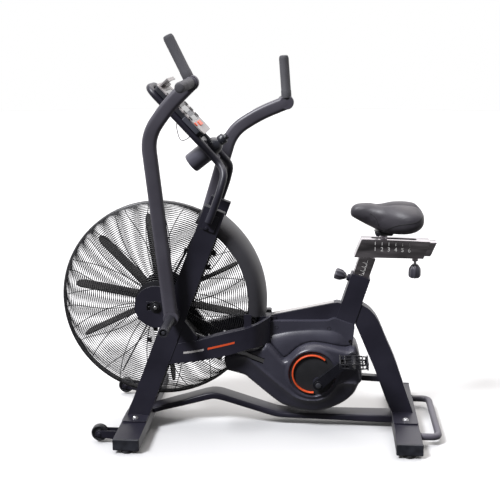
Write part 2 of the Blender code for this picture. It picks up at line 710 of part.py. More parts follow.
def build_ring(side, name):
    centre = RING_CENTRE
    angles = [math.radians(50 + 225 * k / 22) for k in range(23)]
    arc = [(centre[0] + r * math.cos(a), centre[1] + r * math.sin(a)) for r, a in
           [(0.071, a) for a in angles] + [(0.066, a) for a in reversed(angles)]]
    publish(f"{name}_ring", prism(arc, *span(side, 0.0953, 0.0980)), "ring_orange")


# ---------------------------------------------------------------- crank drive
def build_crank():
    cx, cz = CRANK
    axle = pin(cx, cz, -0.124, 0.124, AXLE_R, 20)
    for side, _ in side_names():
        a = math.radians(CRANK_ANGLE + 90 * side)
        throw = (cx + ECCENTRIC_THROW * math.cos(a), cz + ECCENTRIC_THROW * math.sin(a))
        joined(axle, pin(*throw, *span(side, ROD_IN, ROD_OUT), ECCENTRIC_R, 18))
    publish("crank_axle", axle, "bright_steel", (cx, 0, cz))
    p, f = PULLEY_R, PULLEY_R + 0.004
    profile = [(AXLE_R + GAP, 0.0685), (f, 0.0685), (f, 0.0697), (p, 0.0697), (p, 0.0783),
               (f, 0.0783), (f, 0.0795), (AXLE_R + GAP, 0.0795)]
    pulley = ring(profile, (0, 0, 0), (0, 1, 0), 30)
    pulley.data.transform(translation((cx, 0, cz)))
    publish("drive_pulley", pulley, "trim_plastic", (cx, 0, cz))
    for y0, name in ((-0.0447, "left"), (0.0367, "right")):
        publish(f"crank_{name}_bearing", bearing(cx, cz, y0, y0 + 0.008, 0.0182), "bright_steel")
    for side, name in side_names():
        build_crank_arm(side, name)


def pedal_centre(side):
    a = math.radians(CRANK_ANGLE + (0 if side < 0 else 180))
    return (CRANK[0] + CRANK_LENGTH * math.cos(a), CRANK[1] + CRANK_LENGTH * math.sin(a))


def build_crank_arm(side, name):
    cx, cz = CRANK
    px, pz = pedal_centre(side)
    a = math.atan2(pz - cz, px - cx)
    outline = []
    for centre, r, start in (((cx, cz), 0.019, 90), ((px, pz), 0.0135, -90)):
        for k in range(9):
            t = a + math.radians(start + 180 * k / 8)
            outline.append((centre[0] + r * math.cos(t), centre[1] + r * math.sin(t)))
    arm = prism(outline, *span(side, 0.105, 0.120))
    joined(arm, pin(px, pz, *span(side, 0.112, 0.216), 0.006, 16))
    cut(arm, pin(cx, cz, *span(side, 0.100, 0.130), AXLE_R + GAP, 24))
    publish(f"{name}_crank", arm, "arm_paint", (cx, 0, cz))
    build_pedal(side, name)


def build_pedal(side, name):
    px, pz = pedal_centre(side)
    long, tall = 0.049, 0.012
    pedal = pin(px, pz, *span(side, 0.128, 0.222), 0.0115, 20)
    for x0, x1 in ((-long, -long + 0.009), (long - 0.009, long)):
        joined(pedal, box(px + x0, px + x1, *span(side, 0.133, 0.219), pz - tall, pz + tall))
    for y0, y1 in ((0.131, 0.139), (0.172, 0.180), (0.213, 0.221)):
        joined(pedal, box(px - long + 0.001, px + long - 0.001, *span(side, y0, y1),
                          pz - tall + 0.003, pz + tall - 0.003))
    cut(pedal, pin(px, pz, *span(side, 0.120, 0.2175), 0.0064, 16))
    publish(f"{name}_pedal", pedal, "trim_plastic", (px, 0, pz))


def build_belt():
    outer = belt_outline(BELT_THICK)
    inner = belt_outline(GAP)
    count = len(outer)
    verts = [(x, y, z) for y in (BELT_IN, BELT_OUT) for loop in (outer, inner) for x, z in loop]
    faces = []
    for i in range(count):
        j = (i + 1) % count
        o, n, o2, n2 = 0, count, 2 * count, 3 * count
        faces += [[o + i, o + j, o2 + j, o2 + i], [n + i, n + j, n2 + j, n2 + i],
                  [o + i, o + j, n + j, n + i], [o2 + i, o2 + j, n2 + j, n2 + i]]
    publish("drive_belt", solid(verts, faces), "belt_rubber")


# ---------------------------------------------------------------- swing arms
def lever_pin(side):
    """Rest position of the lever end in side view."""
    base = math.radians(-90 - 9.5)
    if side < 0:
        a = base
        return (PIVOT[0] + LEVER * math.cos(a), PIVOT[1] + LEVER * math.sin(a))
    a = base + math.radians(ARM_OFFSET)
    return (PIVOT[0] + LEVER * math.cos(a), PIVOT[1] + LEVER * math.sin(a))


def turned_back(item):
    """Turn a right-hand piece about the pivot to its own rest position."""
    centre = Matrix.Translation((PIVOT[0], 0, PIVOT[1]))
    item.data.transform(centre @ Matrix.Rotation(math.radians(-ARM_OFFSET), 4, "Y")
                        @ centre.inverted())
    return item


def arm_path(side):
    """Arm centreline before the right arm is turned back."""
    points = [(-0.264, 0.165, 0.4345), (-0.305, 0.185, 0.850), (-0.326, 0.196, 1.060),
              (-0.256, 0.200, 1.158), (-0.180, 0.200, 1.232)]
    return [(x, side * y, z) for x, y, z in points]


def build_arm(side, name):
    px, pz = PIVOT
    arm = sweep(eased(arm_path(side), 0.045, 3), oval(0.050, 0.028, 3), (0, 1, 0))
    end = arm_path(side)[-1]
    joined(arm, pin(end[0], end[2], end[1] - 0.0138, end[1] + 0.0138, 0.0254, 20))
    joined(arm, pin(px, pz, *span(side, 0.1455, 0.180), 0.0265, 24),
           pin(px, pz, *span(side, LEVER_IN, 0.150), 0.0120, 20))
    tip = lever_pin(-1)
    a = math.atan2(tip[1] - pz, tip[0] - px)
    outline = []
    for centre, r, start in (((px, pz), 0.0150, 90), (tip, 0.0085, -90)):
        for k in range(9):
            t = a + math.radians(start + 180 * k / 8)
            outline.append((centre[0] + r * math.cos(t), centre[1] + r * math.sin(t)))
    joined(arm, prism(outline, *span(side, LEVER_IN, LEVER_OUT)),
           pin(tip[0], tip[1], *span(side, ROD_IN - 0.0005, LEVER_IN + 0.002), 0.004, 14))
    cut(arm, pin(px, pz, *span(side, 0.080, 0.200), 0.0083, 24))
    if side > 0:
        turned_back(arm)
    publish(f"{name}_arm", arm, "arm_paint", (px, 0, pz))
    build_grips(side, name)


def build_grips(side, name):
    end = arm_path(side)[-1]
    upright = turned([(0.0175, 0.0), (0.0175, 0.146), (0.0150, 0.152), (0.008, 0.154)],
                     (end[0] - 0.006, end[1], end[2] + 0.012), (-0.445, 0, 0.896), 18)
    outward = turned([(0.0175, 0.0), (0.0175, 0.119), (0.0150, 0.124), (0.008, 0.126)],
                     (end[0] - 0.001, side * 0.2100, end[2]), (-0.15, side, -0.07), 18)
    cut(outward, box(end[0] - 0.05, end[0] + 0.05, *span(side, 0.180, 0.2142), end[2] - 0.05,
                     end[2] + 0.05))
    cut(upright, pin(end[0], end[2], end[1] - 0.020, end[1] + 0.020, 0.0258, 24))
    cut(upright, arm_cutter(side))
    for item, label in ((upright, "upright_grip"), (outward, "outer_grip")):
        if side > 0:
            turned_back(item)
        publish(f"{name}_{label}", item, "grip_rubber", (PIVOT[0], 0, PIVOT[1]))


def arm_cutter(side):
    return sweep(eased(arm_path(side), 0.045, 3), oval(0.0508, 0.040, 3), (0, 1, 0))


def build_peg(side, name):
    px, pz = PIVOT
    peg = pin(px, pz, *span(side, 0.0840, 0.190), 0.008, 20)
    body = ring([(0.0085, 0.1805), (0.0160, 0.1805), (0.0160, 0.3355), (0.0150, 0.337),
                 (0.0115, 0.337), (0.0115, 0.331), (0.0085, 0.331)], (0, 0, 0), (0, side, 0), 18)
    body.data.transform(translation((px, 0, pz)))
    joined(peg, body, pin(px, pz, *span(side, 0.181, 0.3325), 0.0100, 18))
    joined(peg, pin(px, pz, *span(side, 0.330, 0.3355), 0.0075, 6))
    publish(f"{name}_foot_peg", peg, "arm_paint")


def build_rod(side, name):
    (sx, sz), (dx, dz), length = rod_line(side)
    half = 0.007
    length -= side * ROD_TRAVEL / 2

    def at(s, t):
        return (sx + dx * s - dz * t, sz + dz * s + dx * t)

    end = length - ROD_RING_IN - 0.0015
    rod = prism([at(0, -half), at(end, -half), at(end, half), at(0, half)],
                *span(side, ROD_IN, ROD_OUT))
    joined(rod, pin(sx, sz, *span(side, ROD_IN, ROD_OUT), 0.0095, 20),
           pin(*at(length, 0), *span(side, ROD_IN, ROD_OUT), ROD_RING_OUT, 26))
    cut(rod, pin(*at(length, 0), *span(side, 0.07, 0.10), ROD_RING_IN, 26),
        pin(sx, sz, *span(side, 0.07, 0.10), 0.0043, 14))
    publish(f"{name}_rod", rod, "bright_steel", (sx, 0, sz))


# ---------------------------------------------------------------- seat
def build_seat_post():
    post = tube_box(-0.090, 0.080, 0.056, 0.020)
    sleeve = [(0.359, 0.6275), (0.384, 0.6925), (0.619, 0.6870), (0.597, 0.6260)]
    joined(post, prism(sleeve, -0.032, 0.032))
    joined(post, pin_up(0.572, 0.0, 0.6115, 0.630, 0.011, 16))
    cavity = [(0.3835, 0.6325), (0.3835, 0.6845), (0.700, 0.6845), (0.700, 0.6325)]
    cut(post, prism(cavity, -0.0273, 0.0273), box(0.418, 0.574, -0.0125, 0.0125, 0.670, 0.700),
        pin_up(0.572, 0.0, 0.600, 0.640, 0.0053, 12))
    publish("seat_post", post, "bright_steel", (*TUBE_TOP[:1], 0, TUBE_TOP[1]))


def build_slider():
    body = prism([(0.402, 0.6340), (0.402, 0.6830), (0.643, 0.6830), (0.621, 0.6340)],
                 -0.0260, 0.0260)
    hollow = prism([(0.410, 0.6380), (0.410, 0.6790), (0.700, 0.6790), (0.700, 0.6380)],
                   -0.0220, 0.0220)
    cut(body, hollow)
    joined(body, box(0.442, 0.480, -0.0105, 0.0105, 0.6800, 0.7090))
    joined(body, prism([(0.432, 0.7060), (0.490, 0.7060), (0.495, 0.7180), (0.427, 0.7180)],
                       -0.024, 0.024))
    publish("seat_slider", body, "bright_steel", (0.460, 0, 0.6585))


SADDLE = [  # x, half width, top, underside
    (0.3425, 0.010, 0.788, 0.774), (0.3480, 0.020, 0.799, 0.766), (0.3620, 0.028, 0.809, 0.760),
    (0.3850, 0.033, 0.814, 0.750), (0.4150, 0.040, 0.8145, 0.738), (0.4450, 0.054, 0.814, 0.7185),
    (0.4750, 0.074, 0.8125, 0.7185), (0.5050, 0.093, 0.811, 0.7185), (0.5350, 0.102, 0.811, 0.7195),
    (0.5600, 0.102, 0.809, 0.724), (0.5780, 0.092, 0.803, 0.733), (0.5870, 0.076, 0.796, 0.747),
    (0.5910, 0.050, 0.786, 0.764)]


def build_saddle():
    loops = []
    for x, wide, top, low in SADDLE:
        mid, tall = (top + low) / 2, (top - low) / 2
        loop = []
        for k in range(18):
            a = 2 * math.pi * k / 18
            c, s = math.cos(a), math.sin(a)
            loop.append((x, math.copysign(abs(c) ** 0.7, c) * wide,
                         mid + math.copysign(abs(s) ** 0.7, s) * tall))
        loops.append(loop)
    publish("saddle", loft(loops), "vinyl", smooth=60)


def build_knobs():
    ax, az = TUBE_AXIS
    boss = tube_point(-0.022, -0.034)

    def out(distance):
        return (boss[0] - az * distance, 0, boss[1] + ax * distance)

    knob = turned([(0.005, -0.0025), (0.005, 0.0120), (0.009, 0.0120), (0.011, 0.022),
                   (0.019, 0.030), (0.0205, 0.040), (0.0205, 0.050), (0.017, 0.0545)],
                  out(0), (-az, 0, ax), 24)
    publish("height_knob", knob, "trim_plastic", out(0.0))
    stem = turned([(0.0050, 0.0315), (0.0050, 0.0000), (0.0090, 0.0000), (0.0120, -0.010),
                   (0.0215, -0.016), (0.0215, -0.040), (0.018, -0.049)],
                  (0.572, 0, 0.6000), (0, 0, 1), 24)
    publish("slider_knob", stem, "trim_plastic", (0.572, 0, 0.600))


# ---------------------------------------------------------------- console
def console_point(u, n, y):
    a = math.radians(CONSOLE_SLOPE)
    ux, uz = math.cos(a), math.sin(a)
    return (CONSOLE_MID[0] + ux * u - uz * n, y, CONSOLE_MID[1] + uz * u + ux * n)


def console_slab(u0, u1, y0, y1, n0, n1, taper=0.0):
    loops = []
    for n, t in ((n0, taper), (n1, 0.0)):
        loops.append([console_point(u, n, y) for u, y in
                      ((u0 + t, y0 + t), (u1 - t, y0 + t), (u1 - t, y1 - t), (u0 + t, y1 - t))])
    return loft(loops)


def build_console():
    half = 0.090
    housing = console_slab(-0.110, 0.110, -half, half, -0.0205, -0.0123, 0.003)
    joined(housing, console_slab(-0.100, 0.080, -0.0605, 0.0605, -0.045, -0.018, 0.008))
    for side in (-1, 1):
        joined(housing, console_slab(0.027, 0.097, *span(side, 0.080, 0.0965), -0.0200, -0.0125))
    publish("console_housing", housing, "trim_plastic")
    bezel = console_slab(-0.114, 0.114, -half - 0.003, half + 0.003, -0.012, 0.0)
    cut(bezel, console_slab(-0.080, 0.058, -0.062, 0.062, -0.004, 0.010))
    for side in (-1, 1):
        joined(bezel, console_slab(-0.076, 0.054, *span(side, 0.068, 0.086), -0.001, 0.003))
    joined(bezel, console_slab(0.066, 0.084, -0.030, 0.030, -0.001, 0.0035),
           console_slab(-0.106, -0.100, -0.070, 0.070, -0.001, 0.034))
    publish("console_bezel", bezel, "bezel_grey")
    publish("console_screen", console_slab(-0.0795, 0.0575, -0.0615, 0.0615, -0.0037, -0.0010),
            "screen_glass")


def build_console_support():
    near = [(-0.1435, 0.1315, 0.748), (-0.1270, 0.1315, 0.786), (-0.0975, 0.1290, 0.868),
            (-0.0835, 0.1080, 0.925), (-0.1000, 0.0800, 0.953), (-0.1520, 0.0750, 1.0085),
            (-0.3420, 0.0750, 1.2080)]
    path = [(x, -y, z) for x, y, z in near] + [(x, y, z) for x, y, z in reversed(near)]
    tube = sweep(eased(path, 0.030, 2), circle(0.0125, 10))
    for side in (-1, 1):
        plate = [leg_point(s, a) for s, a in ((0.705, -0.020), (0.705, 0.024), (0.765, 0.024),
                                               (0.765, -0.020))]
        joined(tube, prism(plate, *span(side, LEG_OUT + GAP, LEG_OUT + 0.006)))
    publish("console_support", tube, "frame_paint")


def cup_point(s, t, y=0.0):
    a = math.radians(CUP_SLOPE)
    return (CUP_BASE[0] + math.cos(a) * s - math.sin(a) * t, y,
            CUP_BASE[1] + math.sin(a) * s + math.cos(a) * t)


def build_cup():
    axis = Vector(cup_point(1, 0)) - Vector(cup_point(0, 0))
    cup = turned([(0.031, 0.0), (0.0345, 0.004), (0.0345, 0.094)], cup_point(0, 0), axis, 22)
    plate = loft([[cup_point(s, t, y) for s, t in ((0.085, -0.046), (0.089, -0.046),
                                                   (0.089, 0.048), (0.085, 0.048))]
                  for y in (-0.0617, 0.0617)])
    joined(cup, plate)
    cut(cup, cylinder(cup_point(0.004, 0), cup_point(0.11, 0), 0.0315, 22))
    publish("bottle_cup", cup, "trim_plastic")
    bottle = turned([(0.026, 0.0045), (0.0305, 0.009), (0.0305, 0.098), (0.0285, 0.112),
                     (0.0220, 0.124), (0.0135, 0.131), (0.0125, 0.136), (0.0145, 0.137),
                     (0.0145, 0.160), (0.0120, 0.163)], cup_point(0, 0), axis, 20)
    publish("bottle", bottle, "bottle_plastic", cup_point(0, 0))


def flowing(route, per_leg):
    """Smooth curve through every point of a route."""
    route = [Vector(p) for p in route]
    ends = [route[0] * 2 - route[1]] + route + [route[-1] * 2 - route[-2]]
    out = []
    for a, b, c, d in zip(ends, ends[1:], ends[2:], ends[3:]):
        for k in range(per_leg):
            t = k / per_leg
            out.append(0.5 * (2 * b + (c - a) * t + (2 * a - 5 * b + 4 * c - d) * t * t
                              + (3 * b - 3 * c + d - a) * t ** 3))
    return out + [route[-1]]


def build_cable():
    path = [(-0.2540, -0.030, 1.0920), (-0.2535, -0.031, 1.0660), (-0.2450, -0.036, 1.0380),
            (-0.2330, -0.042, 1.0290), (-0.2150, -0.052, 1.0370), (-0.2050, -0.0600, 1.0450)]
    curve = bpy.data.curves.new("console_cable", "CURVE")
    curve.dimensions = "3D"
    line = curve.splines.new("POLY")
    points = flowing(path, 3)
    line.points.add(len(points) - 1)
    for slot, point in zip(line.points, points):
        slot.co = (*point, 1.0)
    curve.bevel_depth = 0.0014
    curve.bevel_resolution = 2
    curve.use_fill_caps = True
    curve.materials.append(material("trim_plastic"))
    cable = bpy.data.objects.new("console_cable", curve)
    bpy.context.scene.collection.objects.link(cable)


# ---------------------------------------------------------------- whole machine
def build_all():
    clear_scene()
    build_base()
    build_base_spine()
    build_wheels()
    build_carry_handle()
    build_cage()
    build_shroud()
    build_fan()
    build_rear_frame()
    build_crank()
    build_belt()
    for side, name in side_names():
        build_side_frame(side, name)
        build_casing(side, name)
        build_arm(side, name)
        build_peg(side, name)
        build_rod(side, name)
    build_seat_post()
    build_slider()
    build_saddle()
    build_knobs()
    build_console()
    build_console_support()
    build_cup()
    build_cable()


build_all()
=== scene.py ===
"""Looks of the air bike: every shell, tube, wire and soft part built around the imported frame.

Metres, +Z up, +X towards the seat, +Y to the rider's right; the camera stands on the rider's left.
"""
import math

import bmesh
import bpy
from mathutils import Matrix, Vector, geometry
from mathutils.bvhtree import BVHTree


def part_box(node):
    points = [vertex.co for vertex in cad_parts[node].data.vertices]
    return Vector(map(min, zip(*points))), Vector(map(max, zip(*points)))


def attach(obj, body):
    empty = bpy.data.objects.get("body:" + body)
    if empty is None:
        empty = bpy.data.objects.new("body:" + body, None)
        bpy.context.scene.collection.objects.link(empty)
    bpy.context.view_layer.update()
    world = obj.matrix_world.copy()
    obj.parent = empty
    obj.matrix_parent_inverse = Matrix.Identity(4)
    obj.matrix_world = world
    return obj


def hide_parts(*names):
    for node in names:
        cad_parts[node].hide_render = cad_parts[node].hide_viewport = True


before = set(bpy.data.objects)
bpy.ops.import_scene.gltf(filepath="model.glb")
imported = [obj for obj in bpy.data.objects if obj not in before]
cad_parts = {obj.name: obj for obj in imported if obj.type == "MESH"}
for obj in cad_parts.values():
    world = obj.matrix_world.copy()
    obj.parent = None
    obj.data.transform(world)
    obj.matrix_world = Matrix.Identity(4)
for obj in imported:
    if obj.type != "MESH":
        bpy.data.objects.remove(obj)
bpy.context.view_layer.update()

# ---------------------------------------------------------------- dimensions shared with the part
# Pairs are (x, z) in the side view unless said; IN and OUT are distances from the middle plane.
FAN = (-0.325, 0.458)
CRANK = (0.2426, 0.187)
PIVOT = (-0.264, 0.4345)         # swing arms and pegs
LEG_FOOT = (-0.3917, 0.0707)
LEG_DIR = (0.351, 0.9363)
LEG_WIDTH = 0.074
LEG_IN, LEG_OUT = 0.088, 0.118
LEG_LENGTH = 0.784
HOOP_OUT = 0.355                 # radius
GRILLE_FACE, GRILLE_FLAT = 0.066, 0.3
GUARD_RIM, GUARD_EDGE, GUARD_TURN = 0.3525, 0.011, 0.084
CRANK_LENGTH, CRANK_ANGLE = 0.16, 42.0
ROD_IN = 0.0805
BLADE_PITCH = 2.0                # degrees
LEVER, LEVER_IN, LEVER_OUT = 0.055, 0.0893, 0.096
LEVER_ANGLE = -99.5
ARM_OFFSET = 22.0                # right arm stands this far to the rear at rest, degrees
FRONT_BAR = (-0.402, 0.325)      # x, half length
REAR_BAR = (0.551, 0.295)
BAR_HALF, BAR_LOW, BAR_HIGH = 0.045, 0.012, 0.052
WHEEL = (-0.51, 0.23, 0.036)     # x, y, z
WHEEL_R, WHEEL_HALF = 0.029, 0.012
TUBE_AXIS = (0.299, 0.9543)
TUBE_TOP = (0.3855, 0.5575)
CONSOLE_MID, CONSOLE_SLOPE = (-0.23, 1.1396), -46.5
CUP_BASE, CUP_SLOPE = (-0.212, 0.9435), 38.0
SADDLE_STEM = 0.461              # x
CLAMP_X, CLAMP_TOP = 0.572, 0.6  # slider knob under the sleeve
PIN_PLACE = (-0.022, -0.034)     # height knob on the seat tube: along, across
SIDES = ((-1, "left"), (1, "right"))

# feet: welded plates, their bolts and seats
PLATE_HALF = 0.043
PLATE_SPAN = (BAR_HIGH + 0.0003, BAR_HIGH + 0.0045)
BOLT_SEAT = BAR_HIGH + 0.0055
FOOT_BOLT = (0.0088, 0.0062, 0.0012)
UP = (0, 0, 1)

# meshes: points closer than this are one
DOUBLE_REACH = 0.000005
WELD_REACH = 0.00002

# cable behind the console: the part's own route
CABLE = [(-0.254, -0.03, 1.092), (-0.2535, -0.031, 1.066), (-0.245, -0.036, 1.038),
         (-0.233, -0.042, 1.029), (-0.215, -0.052, 1.037), (-0.205, -0.06, 1.045)]
CABLE_WIDE = 0.0028


# ---------------------------------------------------------------- shapes: each is (verts, faces)
def loft(loops, closed=False):
    """Skin through loops of equal length, capped unless it closes on itself."""
    count, rows = len(loops[0]), len(loops)
    verts = [Vector(p) for loop in loops for p in loop]
    faces = []
    for row in range(rows if closed else rows - 1):
        here, after = row * count, (row + 1) % rows * count
        for i in range(count):
            j = (i + 1) % count
            faces.append([here + i, here + j, after + j, after + i])
    if not closed:
        faces.append(list(range(count)))
        faces.append(list(range((rows - 1) * count, rows * count)))
    return verts, faces


def prism(outline, y0, y1):
    """Side view outline given a width."""
    return loft([[(x, y, z) for x, z in outline] for y in (y0, y1)])


def slab(outline, z0, z1):
    """Plan view outline given a height."""
    return loft([[(x, y, z) for x, y in outline] for z in (z0, z1)])


def rectangle(x0, x1, y0, y1):
    return [(x0, y0), (x1, y0), (x1, y1), (x0, y1)]


def box(x0, x1, y0, y1, z0, z1):
    return slab(rectangle(x0, x1, y0, y1), z0, z1)


def span(side, low, high):
    """Distances from the middle plane as y, in rising order."""
    return (side * low, side * high) if side > 0 else (side * high, side * low)


def rounded(points, radius, steps=4):
    """Outline with its corners turned into short curves."""
    out = []
    for i, corner in enumerate(points):
        corner = Vector(corner)
        a = Vector(points[i - 1]) - corner
        b = Vector(points[(i + 1) % len(points)]) - corner
        reach = min(radius, a.length * 0.48, b.length * 0.48)
        p, q = corner + a.normalized() * reach, corner + b.normalized() * reach
        for k in range(steps + 1):
            t = k / steps
            out.append(tuple(p * (1 - t) ** 2 + corner * 2 * t * (1 - t) + q * t ** 2))
    return out


def eased(path, radius, steps=8):
    """Open path with each inner corner turned into a curve."""
    path = [Vector(p) for p in path]
    out = [path[0]]
    for before, corner, after in zip(path, path[1:], path[2:]):
        a, b = before - corner, after - corner
        reach = min(radius, a.length * 0.48, b.length * 0.48)
        p, q = corner + a.normalized() * reach, corner + b.normalized() * reach
        for k in range(steps + 1):
            t = k / steps
            out.append(p * (1 - t) ** 2 + corner * 2 * t * (1 - t) + q * t ** 2)
    out.append(path[-1])
    return out


def flowing(route, per_leg):
    """Smooth curve through every point of a route."""
    route = [Vector(p) for p in route]
    ends = [route[0] * 2 - route[1]] + route + [route[-1] * 2 - route[-2]]
    out = []
    for a, b, c, d in zip(ends, ends[1:], ends[2:], ends[3:]):
        for k in range(per_leg):
            t = k / per_leg
            out.append(0.5 * (2 * b + (c - a) * t + (2 * a - 5 * b + 4 * c - d) * t * t
                              + (3 * b - 3 * c + d - a) * t ** 3))
    return out + [route[-1]]


def flowing_flat(route, per_leg):
    return [(p[0], p[1]) for p in flowing([(a, b, 0) for a, b in route], per_leg)]


def flowing_rows(rows, per_leg):
    """Smooth rows of four numbers."""
    first = flowing([row[:3] for row in rows], per_leg)
    last = flowing([(row[3], 0.0, 0.0) for row in rows], per_leg)
    return [(*a, b[0]) for a, b in zip(first, last)]


def sweep(path, section, reference=None):
    """Section (a, b) carried along a path; a lies across the reference direction."""
    path = [Vector(p) for p in path]
    loops, side = [], None
    for i, point in enumerate(path):
        tangent = (path[min(i + 1, len(path) - 1)] - path[max(i - 1, 0)]).normalized()
        if reference:
            side = Vector(reference).cross(tangent)
        elif side is None:
            side = tangent.orthogonal()
        side = (side - tangent * side.dot(tangent)).normalized()
        other = tangent.cross(side)
        loops.append([point + side * a + other * b for a, b in section])
    return loft(loops)


def circle(radius, sides=16):
    return [(radius * math.cos(2 * math.pi * k / sides), radius * math.sin(2 * math.pi * k / sides))
            for k in range(sides)]


def oval(width, depth):
    """Flat-sided oval."""
    r, flat, steps = depth / 2, (width - depth) / 2, 10
    points = []
    for centre, start in ((flat, -90), (-flat, 90)):
        for k in range(steps + 1):
            a = math.radians(start + 180 * k / steps)
            points.append((centre + r * math.cos(a), r * math.sin(a)))
    return points


def tube(path, radius, sides=20):
    return sweep(path, circle(radius, sides))


def axes_for(direction):
    w = Vector(direction).normalized()
    u = w.orthogonal().normalized()
    return u, w.cross(u), w


def turned(profile, centre, axis, sides=48, flutes=0, depth=0.0, closed=False):
    """Rims (radius, height) along an axis; flutes press lengthwise grooves into them."""
    centre = Vector(centre)
    u, v, w = axes_for(axis)
    loops = []
    for r, h in profile:
        loop = []
        for k in range(sides):
            a = 2 * math.pi * k / sides
            bite = depth * (0.5 - 0.5 * math.cos(flutes * a)) if flutes else 0.0
            loop.append(centre + w * h + (u * math.cos(a) + v * math.sin(a)) * (r - bite))
        loops.append(loop)
    return loft(loops, closed=closed)


def pin(x, z, y0, y1, radius, sides=40):
    """Round bar across the part."""
    return turned([(radius, y0), (radius, y1)], (x, 0, z), (0, 1, 0), sides)


def pill(first, first_radius, second, second_radius, lean, steps):
    """Outline of a link: two round ends, the line between them leaning at an angle."""
    outline = []
    for centre, radius, start in ((first, first_radius, 90), (second, second_radius, -90)):
        for k in range(steps + 1):
            t = lean + math.radians(start + 180 * k / steps)
            outline.append((centre[0] + radius * math.cos(t), centre[1] + radius * math.sin(t)))
    return outline


def hexagon(centre, axis, radius, height, washer=0.0):
    """Hex head with a domed top, on a washer if asked."""
    shapes = [turned([(radius, 0.0), (radius, height * 0.75), (radius * 0.8, height)], centre, axis,
                     6)]
    if washer:
        shapes.append(turned([(radius * 1.35, -washer), (radius * 1.35, washer * 0.6)], centre,
                             axis, 24))
    return merged(*shapes)


def merged(*shapes):
    verts, faces = [], []
    for v, f in shapes:
        base = len(verts)
        verts += v
        faces += [[i + base for i in face] for face in f]
    return verts, faces


def moved(shape, matrix):
    return [matrix @ v for v in shape[0]], shape[1]


def mesh_of(shape, name="shape"):
    """Mesh of a shape, its doubled points joined and its faces turned outward."""
    mesh = bpy.data.meshes.new(name)
    mesh.from_pydata([tuple(v) for v in shape[0]], [], shape[1])
    work = bmesh.new()
    work.from_mesh(mesh)
    bmesh.ops.remove_doubles(work, verts=work.verts, dist=DOUBLE_REACH)
    bmesh.ops.recalc_face_normals(work, faces=work.faces)
    work.to_mesh(mesh)
    work.free()
    return mesh


def placed(name, data):
    """New object in the scene."""
    item = bpy.data.objects.new(name, data)
    bpy.context.scene.collection.objects.link(item)
    return item


def evaluated(item):
    """Mesh of an object with its modifiers applied."""
    graph = bpy.context.evaluated_depsgraph_get()
    return bpy.data.meshes.new_from_object(item.evaluated_get(graph))


def shape_of(mesh):
    return [v.co.copy() for v in mesh.vertices], [list(p.vertices) for p in mesh.polygons]


def carved(shape, *cutters):
    """One shape with others cut out of it."""
    body = placed("body", mesh_of(shape))
    tools = [placed("tool", mesh_of(cutter)) for cutter in cutters]
    for tool in tools:
        change = body.modifiers.new("cut", "BOOLEAN")
        change.operation, change.solver, change.object = "DIFFERENCE", "EXACT", tool
    mesh = evaluated(body)
    for item in [body, *tools]:
        bpy.data.objects.remove(item)
    return shape_of(mesh)


def ease_edges(item, width, segments, angle):
    edges = item.modifiers.new("edges", "BEVEL")
    edges.width, edges.segments = width, segments
    edges.limit_method, edges.angle_limit = "ANGLE", math.radians(angle)
    edges.harden_normals = True


def piece(name, shapes, finish, body, nodes=(), bevel=0.0, segments=3, smooth=38.0):
    """Merge shapes into one finished piece that rides on a body and stands for CAD nodes."""
    shapes = [shapes] if isinstance(shapes, tuple) else shapes
    mesh = mesh_of(merged(*shapes), name)
    work = bmesh.new()
    work.from_mesh(mesh)
    for edge in work.edges:
        edge.smooth = edge.calc_face_angle(3.2) < math.radians(smooth)
    for face in work.faces:
        face.smooth = True
    work.to_mesh(mesh)
    work.free()
    item = placed(name, mesh)
    if bevel:
        ease_edges(item, bevel, segments, smooth)
    return dressed(item, finish, body, nodes)


def dressed(item, finish, body, nodes=()):
    """Give a piece its material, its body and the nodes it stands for."""
    item.data.materials.clear()
    item.data.materials.append(finish_material(finish))
    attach(item, body)
    if nodes:
        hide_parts(*([nodes] if isinstance(nodes, str) else nodes))
    return item


def keep(node, finish):
    """A CAD node that stays, with a better material and eased edges."""
    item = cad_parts[node]
    for place in item.material_slots:
        place.material = finish_material(finish)
    weld = item.modifiers.new("weld", "WELD")
    weld.merge_threshold = WELD_REACH
    ease_edges(item, 0.0006, 2, 50)


